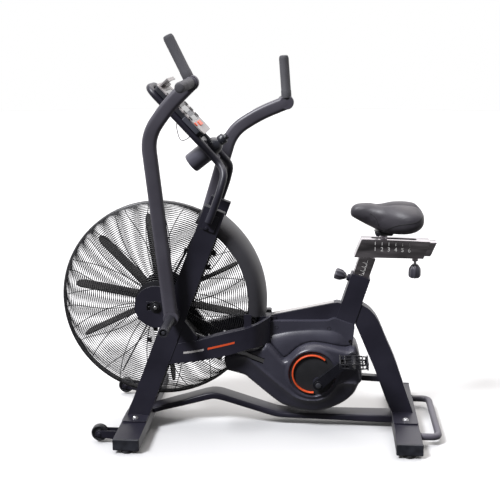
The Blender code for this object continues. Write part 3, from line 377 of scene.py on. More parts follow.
# ---------------------------------------------------------------- materials
# slot, colour, roughness, mottle, mottle scale, grain scale, grain depth
FINISHES = {
    "frame_paint": ("frame_paint", (0.0152, 0.0142, 0.024), 0.42, 0.16, 7.0, 900.0, 0.00008),
    "arm_paint": ("arm_paint", (0.066, 0.062, 0.078), 0.44, 0.1, 8.0, 800.0, 0.0001),
    "casing": ("casing_plastic", (0.038, 0.037, 0.052), 0.36, 0.1, 10.0, 1100.0, 0.00012),
    "shroud": ("casing_plastic", (0.038, 0.037, 0.043), 0.48, 0.1, 6.0, 1100.0, 0.0001),
    "disc": ("casing_plastic", (0.016, 0.016, 0.018), 0.52, 0.12, 12.0, 1100.0, 0.00014),
    "trim": ("trim_plastic", (0.012, 0.012, 0.015), 0.38, 0.15, 20.0, 900.0, 0.00008),
    "trim_soft": ("trim_plastic", (0.03, 0.031, 0.038), 0.5, 0.12, 20.0, 900.0, 0.0001),
    "orange": ("ring_orange", (0.66, 0.082, 0.022), 0.38, 0.08, 30.0, 900.0, 0.00004),
    "pale": ("pale_trim", (0.5, 0.48, 0.47), 0.4, 0.04, 12.0, 700.0, 0.00004),
    "strip": ("pale_trim", (0.3, 0.29, 0.285), 0.42, 0.04, 12.0, 700.0, 0.00004),
    "bezel": ("bezel_grey", (0.3, 0.28, 0.28), 0.42, 0.06, 25.0, 900.0, 0.00006),
    "side_box": ("bezel_grey", (0.06, 0.062, 0.078), 0.4, 0.08, 25.0, 900.0, 0.00006),
    "glass": ("screen_glass", (0.02, 0.026, 0.03), 0.08, 0.2, 14.0, 60.0, 0.00001),
    # chrome: its strong broad colour mottle is painted reflection, cloudy dark and light patches
    # standing in for reflected surroundings
    "chrome": ("bright_steel", (0.46, 0.43, 0.46), 0.17, 0.55, 34.0, 42.0, 0.0005),
    "steel": ("bright_steel", (0.48, 0.48, 0.5), 0.28, 0.16, 30.0, 240.0, 0.00004),
    "zinc": ("bright_steel", (0.62, 0.62, 0.63), 0.3, 0.15, 60.0, 500.0, 0.00005),
    "wire": ("wire_black", (0.013, 0.013, 0.016), 0.36, 0.15, 9.0, 700.0, 0.00004),
    "blade": ("blade_black", (0.012, 0.011, 0.013), 0.55, 0.14, 9.0, 800.0, 0.00008),
    "grip": ("grip_rubber", (0.066, 0.065, 0.073), 0.72, 0.1, 26.0, 1400.0, 0.00022),
    "peg": ("arm_paint", (0.024, 0.024, 0.03), 0.4, 0.12, 20.0, 900.0, 0.0001),
    "pad": ("pad_rubber", (0.018, 0.018, 0.02), 0.7, 0.15, 30.0, 1000.0, 0.00018),
    "belt": ("belt_rubber", (0.016, 0.016, 0.017), 0.72, 0.15, 30.0, 900.0, 0.00015),
    "vinyl": ("vinyl", (0.036, 0.033, 0.04), 0.5, 0.12, 14.0, 620.0, 0.0003),
    "thread": ("vinyl", (0.008, 0.008, 0.009), 0.7, 0.1, 60.0, 900.0, 0.0001),
    "crank": ("arm_paint", (0.009, 0.009, 0.012), 0.34, 0.12, 20.0, 900.0, 0.00008),
    # knob: lighter than the other trim plastic, partly the knobs' own grey and partly painted
    # highlight for the light caught on their ridges
    "knob": ("trim_plastic", (0.05, 0.048, 0.06), 0.34, 0.12, 20.0, 900.0, 0.00008),
    "bottle": ("bottle_plastic", (0.022, 0.023, 0.03), 0.26, 0.15, 18.0, 500.0, 0.00003),
    # cup: lighter grey plastic, its colour partly raised as painted sheen for the highlight band on
    # the cup
    "cup": ("trim_plastic", (0.08, 0.078, 0.098), 0.3, 0.12, 14.0, 900.0, 0.00006),
    "cap": ("frame_paint", (0.015, 0.016, 0.022), 0.55, 0.3, 45.0, 420.0, 0.0003),
    "mark": ("pale_trim", (0.6, 0.59, 0.57), 0.55, 0.12, 90.0, 900.0, 0.00003),
}
METALS = ("chrome", "steel", "zinc")
GRAIN = {"chrome": "brushed", "steel": "brushed", "blade": "matt", "vinyl": "cells",
         "crank": "matt"}


def tinted(colour, share):
    return (*(min(1.0, c * share) for c in colour), 1.0)


def put(node, **values):
    """Set a node's input sockets; an underscore stands for a space in a socket's name."""
    for socket, value in values.items():
        node.inputs[socket.replace("_", " ")].default_value = value
    return node


def finish_material(name):
    """Procedural finish: broad colour mottle (on chrome, painted reflection), fine grain in
    roughness and bump.
    """
    found = bpy.data.materials.get("looks_" + name)
    if found:
        return found
    _, colour, rough, mottle, mottle_scale, grain_scale, depth = FINISHES[name]
    grain = GRAIN.get(name, "noise")
    made = bpy.data.materials.new("looks_" + name)
    made.use_nodes = True
    nodes, link = made.node_tree.nodes, made.node_tree.links.new
    shader = put(nodes["Principled BSDF"], Metallic=1.0 if name in METALS else 0.0)
    place = nodes.new("ShaderNodeTexCoord")
    spread = nodes.new("ShaderNodeMapping")
    if grain == "brushed":
        put(spread, Scale=(0.16, 1.0, 1.0))
    if grain == "matt":
        put(shader, Specular_IOR_Level=0.15)
    link(place.outputs["Object"], spread.inputs["Vector"])
    broad = put(nodes.new("ShaderNodeTexNoise"), Scale=mottle_scale, Detail=5.0)
    link(spread.outputs["Vector"], broad.inputs["Vector"])
    if grain == "cells":
        fine = nodes.new("ShaderNodeTexVoronoi")
        fine.feature = "DISTANCE_TO_EDGE"
        height = fine.outputs["Distance"]
    else:
        fine = put(nodes.new("ShaderNodeTexNoise"), Detail=3.0)
        height = fine.outputs["Fac"]
    put(fine, Scale=grain_scale)
    link(spread.outputs["Vector"], fine.inputs["Vector"])
    blend = nodes.new("ShaderNodeMix")
    blend.data_type = "RGBA"
    blend.inputs["A"].default_value = tinted(colour, 1.0 - mottle)
    blend.inputs["B"].default_value = tinted(colour, 1.0 + mottle)
    cloud = put(nodes.new("ShaderNodeMapRange"), From_Min=0.36, From_Max=0.64)
    link(broad.outputs["Fac"], cloud.inputs["Value"])
    link(cloud.outputs["Result"], blend.inputs["Factor"])
    link(blend.outputs["Result"], shader.inputs["Base Color"])
    shine = put(nodes.new("ShaderNodeMapRange"), From_Min=0.3, From_Max=0.7,
                To_Min=rough * 0.82, To_Max=min(1.0, rough * 1.2))
    link(broad.outputs["Fac"], shine.inputs["Value"])
    link(shine.outputs["Result"], shader.inputs["Roughness"])
    bump = put(nodes.new("ShaderNodeBump"), Strength=0.6, Distance=depth)
    link(height, bump.inputs["Height"])
    link(bump.outputs["Normal"], shader.inputs["Normal"])
    return made


# ---------------------------------------------------------------- camera, stage and light
def make_camera():
    """Camera on the rider's left, a little above the saddle."""
    lens = bpy.data.cameras.new("camera")
    lens.lens, lens.sensor_width = 69.48, 36.0
    lens.clip_start, lens.clip_end = 0.05, 100.0
    camera = placed("camera", lens)
    camera.location = (0.2417, -3.3078, 1.4)
    camera.rotation_euler = (math.radians(77.101), 0.0, math.radians(4.275))
    bpy.context.scene.camera = camera


def make_sun(name, strength, angle, azimuth, elevation, colour=(1.0, 1.0, 1.0)):
    """Azimuth 0 shines from the camera's side, 90 from the seat's."""
    data = bpy.data.lights.new(name, "SUN")
    data.energy, data.angle, data.color = strength, math.radians(angle), colour
    item = placed(name, data)
    a, e = math.radians(azimuth), math.radians(elevation)
    source = Vector((math.sin(a) * math.cos(e), -math.cos(a) * math.cos(e), math.sin(e)))
    item.rotation_mode = "QUATERNION"
    item.rotation_quaternion = source.to_track_quat("Z", "Y")


def make_stage():
    """Pale floor, kept out of reflections and bounce light."""
    reach, edges, grey = 14.0, 64, 0.56
    shape = [Vector((x, y, 0.0)) for x, y in circle(reach, edges)], [list(range(edges))]
    floor = placed("floor", mesh_of(shape, "floor"))
    pale = bpy.data.materials.new("floor")
    pale.use_nodes = True
    put(pale.node_tree.nodes["Principled BSDF"], Base_Color=(grey, grey, grey, 1.0), Roughness=0.75,
        Specular_IOR_Level=0.1)
    floor.data.materials.append(pale)
    floor.visible_diffuse = floor.visible_glossy = False


def make_light():
    """Studio room: bright wall behind, dim side where the camera stands, dark underneath."""
    world = bpy.data.worlds.new("room")
    bpy.context.scene.world = world
    world.use_nodes = True
    nodes, link = world.node_tree.nodes, world.node_tree.links.new
    room = nodes["Background"]
    place = nodes.new("ShaderNodeTexCoord")
    split = nodes.new("ShaderNodeSeparateXYZ")
    link(place.outputs["Generated"], split.inputs["Vector"])
    shares = []
    for axis, low, high, dim, bright in (("Y", -0.55, 0.75, 0.15, 1.35),
                                         ("Z", -0.45, 0.05, 0.35, 1.0)):
        ramp = nodes.new("ShaderNodeMapRange")
        ramp.interpolation_type = "SMOOTHSTEP"
        put(ramp, From_Min=low, From_Max=high, To_Min=dim, To_Max=bright)
        link(split.outputs[axis], ramp.inputs["Value"])
        shares.append(ramp.outputs["Result"])
    both = nodes.new("ShaderNodeMath")
    both.operation = "MULTIPLY"
    link(shares[0], both.inputs[0])
    link(shares[1], both.inputs[1])
    link(both.outputs["Value"], room.inputs["Strength"])
    seen = nodes.new("ShaderNodeBackground")
    ray = nodes.new("ShaderNodeLightPath")
    either = nodes.new("ShaderNodeMixShader")
    link(ray.outputs["Is Camera Ray"], either.inputs["Fac"])
    link(room.outputs["Background"], either.inputs[1])
    link(seen.outputs["Background"], either.inputs[2])
    seen.inputs["Color"].default_value = (1.0, 1.0, 1.0, 1.0)
    room.inputs["Color"].default_value = (1.0, 0.985, 0.985, 1.0)
    link(either.outputs["Shader"], nodes["World Output"].inputs["Surface"])
    make_sun("top_light", 2.2, 60.0, 165.0, 70.0, (1.0, 0.965, 0.95))
    make_sun("key_light", 4.9, 15.0, -44.0, 49.0, (0.95, 0.96, 1.0))
    bpy.context.scene.view_settings.view_transform = "Standard"


# ---------------------------------------------------------------- cable
def make_cable():
    """The lead behind the console, a thin round curve."""
    points = flowing(CABLE, 4)
    curve = bpy.data.curves.new("console_lead", "CURVE")
    curve.dimensions = "3D"
    line = curve.splines.new("POLY")
    line.points.add(len(points) - 1)
    for place, point in zip(line.points, points):
        place.co = (*point, 1.0)
    curve.bevel_depth, curve.bevel_resolution = CABLE_WIDE / 2, 3
    curve.use_fill_caps = True
    lead = placed("console_lead", curve)
    dressed(lead, "trim", "frame", "console_cable")


# ---------------------------------------------------------------- base
def make_stabiliser(name, x, half, extra, node):
    low, high = BAR_LOW, BAR_HIGH
    edge = 0.0008

    def section(gap):
        return rectangle(x - BAR_HALF + gap, x + BAR_HALF - gap, low + gap, high - gap)

    piece(name, [prism(section(edge), -half + 0.01, half - 0.01), *extra], "frame_paint", "frame",
          node, bevel=0.004, segments=4)
    for side, label in SIDES:
        cap = prism(section(0.0), *span(side, half - 0.0125, half))
        piece(f"{name}_{label}_cap", cap, "cap", "frame", bevel=0.003)


def make_base():
    """Stabilisers, wheels and their forks, feet, low beam and carry handle."""
    x, half = FRONT_BAR
    forks = []
    for side, _ in SIDES:
        yc = side * WHEEL[1]
        fork = rounded([(x - BAR_HALF + 0.006, BAR_LOW + 0.003),
                        (x - BAR_HALF + 0.006, BAR_HIGH - 0.004),
                        (WHEEL[0] + 0.004, WHEEL[2] + 0.012), (WHEEL[0] - 0.012, WHEEL[2] + 0.008),
                        (WHEEL[0] - 0.012, WHEEL[2] - 0.009), (WHEEL[0] + 0.004, WHEEL[2] - 0.012)],
                       0.008)
        for y0 in (yc - 0.0175, yc + 0.0135):
            forks.append(prism(fork, y0, y0 + 0.004))
        forks.append(pin(WHEEL[0], WHEEL[2], yc - 0.019, yc + 0.019, 0.004, 20))
        for way in (-1, 1):
            forks.append(hexagon((WHEEL[0], yc + way * 0.0172, WHEEL[2]), (0, way, 0), 0.0065,
                                 0.0042, 0.0006))
    make_stabiliser("front_bar", x, half, forks, "front_stabiliser")
    make_stabiliser("rear_bar", *REAR_BAR, [], "rear_stabiliser")
    for end, (x, half) in (("front", FRONT_BAR), ("rear", REAR_BAR)):
        for side, label in SIDES:
            profile = [(0.019, 0.0), (0.0215, 0.0006), (0.0235, 0.003), (0.024, 0.0055),
                       (0.0225, 0.0064), (0.024, 0.0073), (0.024, 0.011), (0.02, 0.0117)]
            pad = turned(profile, (x, side * (half - 0.025), 0.0), UP, 40)
            piece(f"{end}_{label}_foot", pad, "pad", "frame", f"{end}_{label}_pad", bevel=0.0006,
                  segments=2)
    for side, label in SIDES:
        h, r = WHEEL_HALF, WHEEL_R
        half = [(0.0045, h), (0.0095, h), (0.011, h - 0.003), (0.02, h - 0.0045),
                (0.0215, h - 0.001), (r - 0.004, h), (r - 0.001, h - 0.0016), (r, h - 0.005),
                (r, 0.0018), (r - 0.0012, 0.0)]
        profile = half + [(a, -b) for a, b in reversed(half[:-1])]
        hub = (WHEEL[0], side * WHEEL[1], WHEEL[2])
        parts = [turned(profile, hub, (0, 1, 0), 48, closed=True)]
        for k in range(5):
            a = 2 * math.pi * k / 5
            rib = [(0.009, -0.001), (0.0215, -0.0014), (0.0215, 0.0014), (0.009, 0.001)]
            spoke = [(hub[0] + p * math.cos(a) - q * math.sin(a),
                      hub[2] + p * math.sin(a) + q * math.cos(a)) for p, q in rib]
            parts.append(prism(spoke, hub[1] - h + 0.0015, hub[1] + h - 0.0015))
        piece(f"{label}_caster", parts, "trim", f"{label}_transport_wheel", f"{label}_wheel",
              bevel=0.0005, segments=2)
    make_spine()
    x0, x1, half = REAR_BAR[0] + BAR_HALF + 0.0003, 0.66, 0.178
    path = eased([(x0, -half, 0.032), (x1, -half, 0.032), (x1, half, 0.032), (x0, half, 0.032)],
                 0.046, 12)
    beads = [turned([(0.012, 0.0), (0.014, 0.0008), (0.0135, 0.0025), (0.0118, 0.004)],
                    (x0, y, 0.032), (1, 0, 0), 32) for y in (-half, half)]
    piece("rear_handle", [tube(path, 0.012, 28), *beads], "arm_paint", "frame", "carry_handle")


def make_spine():
    """Low tube joining the two feet, with its two easy bends."""
    stations = [(-0.3567, 0.0305, 0.0515), (-0.32, 0.042, 0.0625), (-0.25, 0.061, 0.0838),
                (-0.19, 0.0778, 0.1025), (-0.16, 0.0862, 0.111), (-0.136, 0.0912, 0.1148),
                (-0.108, 0.0872, 0.1118), (-0.07, 0.0768, 0.1005), (0.01, 0.053, 0.0755),
                (0.07, 0.0352, 0.0568), (0.098, 0.029, 0.05), (0.135, 0.0268, 0.0458),
                (0.21, 0.0252, 0.0458), (0.32, 0.0228, 0.0468), (0.42, 0.0205, 0.0474),
                (0.5057, 0.0185, 0.048)]
    half = 0.037
    loops = []
    for x, low, high in flowing(stations, 5):
        corners = rounded(rectangle(-half, half, low, high), 0.0065, 4)
        loops.append([(x, y, z) for y, z in corners])
    piece("base_beam", loft(loops), "frame_paint", "frame", "base_spine")


# ---------------------------------------------------------------- side frames
def leg_point(along, across):
    """Point of the leg's side view, along it from its foot and across it."""
    dx, dz = LEG_DIR
    return (LEG_FOOT[0] + dx * along + dz * across, LEG_FOOT[1] + dz * along - dx * across)


def leg_patch(low, high, left, right):
    return [leg_point(s, a) for s, a in ((low, left), (low, right), (high, right), (high, left))]


def leg_at(z, across):
    """Point of the leg's side view at a height."""
    return leg_point((z - LEG_FOOT[1] + LEG_DIR[0] * across) / LEG_DIR[1], across)


BAR = [(-0.3, 0.2478, 0.3205, LEG_IN), (-0.257, 0.2535, 0.326, LEG_IN),
       (-0.184, 0.263, 0.339, LEG_IN), (-0.081, 0.286, 0.3676, LEG_IN),
       (-0.03, 0.3025, 0.3805, LEG_IN - 0.0005), (-0.004, 0.3105, 0.3885, LEG_IN - 0.0035),
       (0.02, 0.3145, 0.396, 0.0785), (0.045, 0.317, 0.405, 0.059), (0.062, 0.318, 0.412, 0.04),
       (0.07, 0.318, 0.414, 0.0265)]


def bead(path, radius=0.0017):
    """Weld seam with its ripples."""
    pitch = 0.0035
    points = [Vector(p) for p in path]
    fine = []
    for a, b in zip(points, points[1:]):
        steps = max(2, int((b - a).length / (pitch / 2)))
        fine += [a.lerp(b, k / steps) for k in range(steps)]
    fine.append(points[-1])
    u, v, _ = axes_for(points[-1] - points[0])
    loops = []
    for i, p in enumerate(fine):
        r = radius * (1.0 if i % 2 else 0.72) * (0.4 if i in (0, len(fine) - 1) else 1.0)
        loops.append([p + (u * math.cos(t) + v * math.sin(t)) * r for t in
                      (2 * math.pi * k / 8 for k in range(8))])
    return loft(loops)


def make_side_frame(side, label):
    """Leg and mast, side bar, pivot boss, foot plate, welds, bolts and stripes."""
    y0, y1 = span(side, LEG_IN, LEG_OUT)
    half = LEG_WIDTH / 2
    px, pz = PIVOT
    leg = prism([leg_at(0.0545, -half), leg_at(0.0545, half), leg_point(LEG_LENGTH, half),
                 leg_point(LEG_LENGTH, -half)], y0, y1)
    pocket = [(px - 0.016, pz + 0.02), (px + 0.016, pz + 0.02), (px + 0.022, pz),
              (px + 0.026, pz - 0.035), (px + 0.026, pz - 0.066), (px - 0.052, pz - 0.066),
              (px - 0.052, pz - 0.045), (px - 0.022, pz)]
    leg = carved(leg, prism(pocket, *span(side, 0.08, 0.0975)),
                 pin(*PIVOT, *span(side, 0.09, 0.15), 0.0124),
                 pin(*FAN, *span(side, 0.05, 0.13), 0.0103, 24))
    bar = []
    for x, low, high, inner in flowing_rows(BAR, 4):
        a, b = side * (inner + 0.0006), side * (inner + LEG_OUT - LEG_IN - 0.0008)
        bar.append([(x, y, z) for y, z in rectangle(a, b, low, high)])
    gusset = rounded([(-0.262, 0.402), (-0.2265, 0.41), (-0.18, 0.347), (-0.19, 0.33),
                      (-0.275, 0.32)], 0.006)
    foot_x = FRONT_BAR[0]
    y_plate = span(side, 0.07, 0.175)
    plate = rounded(rectangle(foot_x - PLATE_HALF, foot_x + PLATE_HALF, *y_plate), 0.006)
    parts = [leg, loft(bar), prism(gusset, *span(side, LEG_IN + 0.003, LEG_OUT - 0.0035)),
             slab(plate, *PLATE_SPAN)]
    boss = [(0.0124, 0.096), (0.022, 0.096), (0.022, 0.1445), (0.0208, 0.1455), (0.0124, 0.1455)]
    parts.append(turned([(r, side * h) for r, h in boss], (px, 0, pz), (0, 1, 0), 48, closed=True))
    lip = [(0.0218, 0.118), (0.0255, 0.118), (0.024, 0.1205), (0.0218, 0.1215)]
    parts.append(turned([(r, side * h) for r, h in lip], (px, 0, pz), (0, 1, 0), 48, closed=True))
    for x, z in ((-0.1665, 0.7405), (-0.134, 0.731)):
        parts.append(pin(x, z, *span(side, 0.0845, 0.092), 0.008, 24))
    parts.append(prism(rectangle(-0.02, 0.006, 0.375, 0.43), *span(side, LEG_IN, LEG_IN + 0.003)))
    bridge = rounded(rectangle(px - 0.036, px + 0.046, pz - 0.016, pz + 0.018), 0.006)
    parts.append(carved(prism(bridge, *span(side, 0.0835, 0.0885)),
                        pin(*PIVOT, *span(side, 0.08, 0.092), 0.0083)))
    lug_y = span(side, 0.0795, LEG_IN + 0.002)
    flange = [[(x, y, z) for y, z in rectangle(*lug_y, high - 0.0045, high - 0.0012)]
              for x, _, high, _ in flowing_rows(BAR[2:7], 4) if -0.152 < x < 0.012]
    parts.append(loft(flange))
    piece(f"{label}_frame", parts, "frame_paint", "frame", f"{label}_side_frame", bevel=0.0028,
          segments=3)

    seams = [bead([leg_xy(leg_at(z, half + 0.0004), side, LEG_OUT - 0.0004)
                   for z in (0.262, 0.3, 0.3335)]),
             bead([leg_xy(p, side, LEG_OUT - 0.0032)
                   for p in ((-0.262, 0.404), (-0.2275, 0.4115))]),
             bead([(foot_x - 0.02, side * 0.1185, 0.0572), (foot_x + 0.02, side * 0.1185, 0.0572)])]
    piece(f"{label}_frame_welds", seams, "frame_paint", "frame")
    bolts = [hexagon((foot_x, side * 0.146, BOLT_SEAT), UP, *FOOT_BOLT)]
    for x, high in ((-0.143, 0.3492), (-0.088, 0.3645), (-0.006, 0.3868)):
        bolts.append(hexagon((x, side * 0.0838, high - 0.0006), (-0.25, 0, 0.97), 0.0042, 0.004))
    piece(f"{label}_frame_bolts", bolts, "zinc", "frame", bevel=0.0003, segments=2)
    for finish, x0, x1 in (("pale", -0.232, -0.158), ("orange", -0.15, -0.05)):
        y = side * (LEG_OUT - 0.0006)
        stripe = [[(x, y + side * t, (low + high) / 2 + h)
                   for t, h in rectangle(-0.0006, 0.0001, -0.0035, 0.0035)]
                  for x, low, high, _ in flowing_rows(BAR[1:6], 8) if x0 <= x <= x1]
        piece(f"{label}_{finish}_stripe", loft(stripe), finish, "frame")
    make_mast_cap(side, label)
    make_hub_plate(side, label)


def leg_xy(point, side, y):
    """Side view point brought out to one side."""
    return (point[0], side * y, point[1])


def make_mast_cap(side, label):
    """Plastic plug in the top of the mast; under it a thin dark strip on the mast's face, painted
    shade standing in for the clamp slot.
    """
    half = LEG_WIDTH / 2 - 0.0006
    cap = prism(leg_patch(LEG_LENGTH - 0.01, LEG_LENGTH + 0.0008, -half, half),
                *span(side, LEG_IN + 0.0006, LEG_OUT - 0.0006))
    slot = prism(leg_patch(0.7055, 0.7075, -0.026, 0.025),
                 *span(side, LEG_OUT - 0.003, LEG_OUT + 0.0003))
    piece(f"{label}_mast_cap", cap, "cap", "frame", bevel=0.0015)
    # dark strip proud of the face: painted shade where the clamp slot would be open
    piece(f"{label}_mast_slot_shade", slot, "disc", "frame", bevel=0.0002, segments=1)


def make_hub_plate(side, label):
    """Round cover on the fan axle, with its tension slot, screw and spacer."""
    fx, fz = FAN
    disc = pin(fx, fz, *span(side, 0.1115, 0.1172), 0.075, 96)
    slot = rounded(rectangle(fx - 0.03, fx + 0.014, fz - 0.0125, fz + 0.0125), 0.006)
    disc = carved(disc, prism(slot, *span(side, 0.1, 0.13)))
    ledge = rounded(rectangle(fx - 0.034, fx + 0.036, fz + 0.0165, fz + 0.019), 0.001)
    inner = 0.0663 if side < 0 else 0.08
    spacer = turned(rectangle(0.0103, 0.018, inner, 0.1118), (0, 0, 0), (0, side, 0), 32,
                    closed=True)
    parts = [disc, prism(ledge, *span(side, 0.116, 0.1186)),
             moved(spacer, Matrix.Translation((fx, 0, fz)))]
    piece(f"{label}_hub_plate", parts, "frame_paint", "frame", f"{label}_side_frame", bevel=0.0012)
    back = prism(slot, *span(side, 0.1085, 0.11))
    screw = turned([(0.0026, 0.0), (0.0026, 0.02)], (fx - 0.03, side * 0.115, fz), (1, 0, 0), 16)
    lug = box(fx - 0.0335, fx - 0.0295, *span(side, 0.11, 0.1205), fz - 0.0075, fz + 0.0075)
    piece(f"{label}_tensioner", [back, screw, lug], "trim", "frame", bevel=0.0006, segments=2)


# ---------------------------------------------------------------- fan, cage and shroud
def guard_point(along):
    """Radius and half width of the guard: flat face, then a quarter turn down to the hoop."""
    if along <= GRILLE_FLAT:
        return along, GRILLE_FACE
    turn = min(1.0, (along - GRILLE_FLAT) / GUARD_TURN) * math.pi / 2
    return (GRILLE_FLAT + (GUARD_RIM - GRILLE_FLAT) * math.sin(turn),
            GUARD_EDGE + (GRILLE_FACE - GUARD_EDGE) * math.cos(turn))


def torus(centre, radius, thick, around):
    sides = 6
    section = [(radius + thick * math.cos(t), thick * math.sin(t))
               for t in (2 * math.pi * k / sides for k in range(sides))]
    return turned(section, centre, (0, 1, 0), around, closed=True)


def make_grille(side, label):
    """Concentric wires welded to slightly curved spokes; the same part faces both ways."""
    wire, pitch = 0.00125, 0.0072
    rings = []
    for k in range(int((GRILLE_FLAT + GUARD_TURN - 0.0835) / pitch) + 1):
        r, y = guard_point(0.0835 + pitch * k)
        rings.append(torus((FAN[0], side * (y - wire), FAN[1]), r - wire, wire, 96))
    inner = 0.011 if side < 0 else 0.027
    rings.append(turned([(inner, GRILLE_FACE - 0.0032), (0.081, GRILLE_FACE - 0.0032),
                         (0.082, GRILLE_FACE - 0.001), (0.08, GRILLE_FACE - 0.0002),
                         (inner, GRILLE_FACE - 0.0002)], (FAN[0], 0, FAN[1]), (0, side, 0), 96,
                        closed=True))
    piece(f"{label}_guard", rings, "wire", "frame", f"{label}_grille", smooth=65)
    spokes = []
    start = 19.0 if side < 0 else 8.0
    for k in range(16):
        path = []
        for n in range(19):
            r, y = guard_point(0.079 + (GRILLE_FLAT + GUARD_TURN - 0.079) * n / 18)
            a = math.radians(start + 22.5 * k + side * -25.0 * (r / HOOP_OUT - 0.95))
            r -= 2 * wire * (r - GRILLE_FLAT) / (HOOP_OUT - GRILLE_FLAT) if r > GRILLE_FLAT else 0.0
            path.append((FAN[0] + r * math.cos(a), side * (y - 2 * wire - 0.001),
                         FAN[1] + r * math.sin(a)))
        spokes.append(tube(path, 0.0015, 8))
    piece(f"{label}_guard_spokes", spokes, "wire", "frame", f"{label}_grille", smooth=65)
    clips = []
    spots = ((-0.222, 0.65), (-0.127, 0.6425), (-0.147, 0.592), (-0.36, 0.322), (-0.306, 0.25))
    for x, z in spots if side < 0 else spots[3:]:
        y = span(side, GRILLE_FACE - 0.006, GRILLE_FACE + 0.005)
        clips.append(carved(box(x - 0.008, x + 0.008, *y, z - 0.008, z + 0.008),
                            pin(x, z, *span(side, GRILLE_FACE + 0.0025, GRILLE_FACE + 0.02), 0.0035,
                                16)))
    piece(f"{label}_guard_clips", clips, "trim", "frame", f"{label}_grille", bevel=0.0008,
          segments=2)


def make_cage():
    """Narrow hoop between the two wire guards."""
    rim, out = GUARD_EDGE + 0.002, HOOP_OUT
    half = [(out - 0.0012, 0.0), (out - 0.0012, rim - 0.006), (out - 0.0002, rim - 0.0045),
            (out, rim - 0.003), (out - 0.001, rim - 0.0008), (out - 0.0028, rim),
            (out - 0.0044, rim - 0.0012), (out - 0.004, rim - 0.006), (out - 0.0036, 0.0)]
    profile = half + [(r, -y) for r, y in reversed(half[1:-1])]
    hoop = turned(profile, (FAN[0], 0, FAN[1]), (0, 1, 0), 144, closed=True)
    piece("cage_band", hoop, "wire", "frame", "cage_hoop", smooth=50)
    for side, label in SIDES:
        make_grille(side, label)


def make_shroud():
    """Smooth hood over the back of the fan."""
    outer = flowing([(-0.0835, 0.322, 0), (-0.0835, 0.338, 0), (-0.0785, 0.3545, 0),
                     (-0.064, 0.3672, 0), (-0.044, 0.3752, 0), (-0.022, 0.3796, 0), (0, 0.3808, 0),
                     (0.022, 0.3796, 0), (0.044, 0.3752, 0), (0.064, 0.3672, 0),
                     (0.0785, 0.3545, 0), (0.0835, 0.338, 0), (0.0835, 0.322, 0)], 3)
    inner = []
    for k, p in enumerate(outer):
        before, after = outer[max(k - 1, 0)], outer[min(k + 1, len(outer) - 1)]
        across = Vector((after[1] - before[1], before[0] - after[0])).normalized() * 0.0028
        inner.append((p[0] + across.x, p[1] + across.y, 0))
    section = [(p[0], p[1]) for p in outer] + [(p[0], p[1]) for p in reversed(inner)]
    loops = []
    for k in range(49):
        a = math.radians(65.0 - 71.5 * k / 48)
        loops.append([(FAN[0] + r * math.cos(a), y, FAN[1] + r * math.sin(a)) for y, r in section])
    piece("fan_hood", loft(loops), "shroud", "frame", "fan_shroud", bevel=0.001, segments=2,
          smooth=50)


def make_fan():
    """Blades on their hub, and the axle with its nuts."""
    fx, fz = FAN
    centre = Vector((fx, 0, fz))
    shapes = [turned([(0.0306, -0.05), (0.0765, -0.05), (0.078, -0.049), (0.078, -0.0465),
                      (0.046, -0.0462), (0.046, 0.0462), (0.078, 0.0465), (0.078, 0.049),
                      (0.0765, 0.05), (0.0306, 0.05)], centre, (0, 1, 0), 96, closed=True)]
    outline = [(0.044, -0.044), (0.12, -0.044)]
    for k in range(13):
        a = math.radians(-90 + 180 * k / 12)
        outline.append((0.28 + 0.032 * math.cos(a), 0.044 * math.sin(a)))
    outline += [(0.12, 0.044), (0.044, 0.044)]
    for n in range(10):
        a = math.radians(26 + 36 * n)
        out, across = Vector((math.cos(a), 0, math.sin(a))), Vector((0, 1, 0))
        pitch = math.radians(BLADE_PITCH)
        lean = across * math.cos(pitch) + across.cross(out) * math.sin(pitch)
        normal = out.cross(lean)
        shapes.append(loft([[centre + out * r + lean * y + normal * t for r, y in outline]
                            for t in (-0.0018, 0.0018)]))
        for y in (-0.038, 0.038):
            rivet = centre + out * 0.062 + across * y
            shapes.append(turned([(0.004, -0.004), (0.004, 0.0035), (0.002, 0.004)], rivet, normal,
                                 12))
    piece("fan_blades", shapes, "blade", "fan", "fan_wheel", bevel=0.0008, segments=2)
    for node in ("fan_hub", "fan_left_bearing", "fan_right_bearing"):
        keep(node, "steel")
    nuts, tips = [pin(fx, fz, -0.1255, 0.1255, 0.0097, 32)], []
    for side, _ in SIDES:
        nuts.append(hexagon((fx, side * 0.1182, fz), (0, side, 0), 0.0158, 0.007, 0.0008))
        tips.append(turned([(0.0062, 0.125), (0.0062, 0.1285), (0.005, 0.1297), (0.002, 0.1297)],
                           (fx, 0, fz), (0, side, 0), 32))
    piece("fan_spindle", nuts, "trim", "frame", "fan_axle", bevel=0.0005, segments=2)
    piece("fan_spindle_tips", tips, "zinc", "frame", "fan_axle", bevel=0.0003, segments=2)


# ---------------------------------------------------------------- rear frame
def tube_point(along, across):
    """Point of the seat tube's side view, along it from its top and across it."""
    ax, az = TUBE_AXIS
    return (TUBE_TOP[0] + ax * along + az * across, TUBE_TOP[1] + az * along - ax * across)


def tube_box(low, high, width, half):
    corners = [tube_point(low, -width / 2), tube_point(low, width / 2),
               tube_point(high, width / 2), tube_point(high, -width / 2)]
    return prism(corners, -half, half)


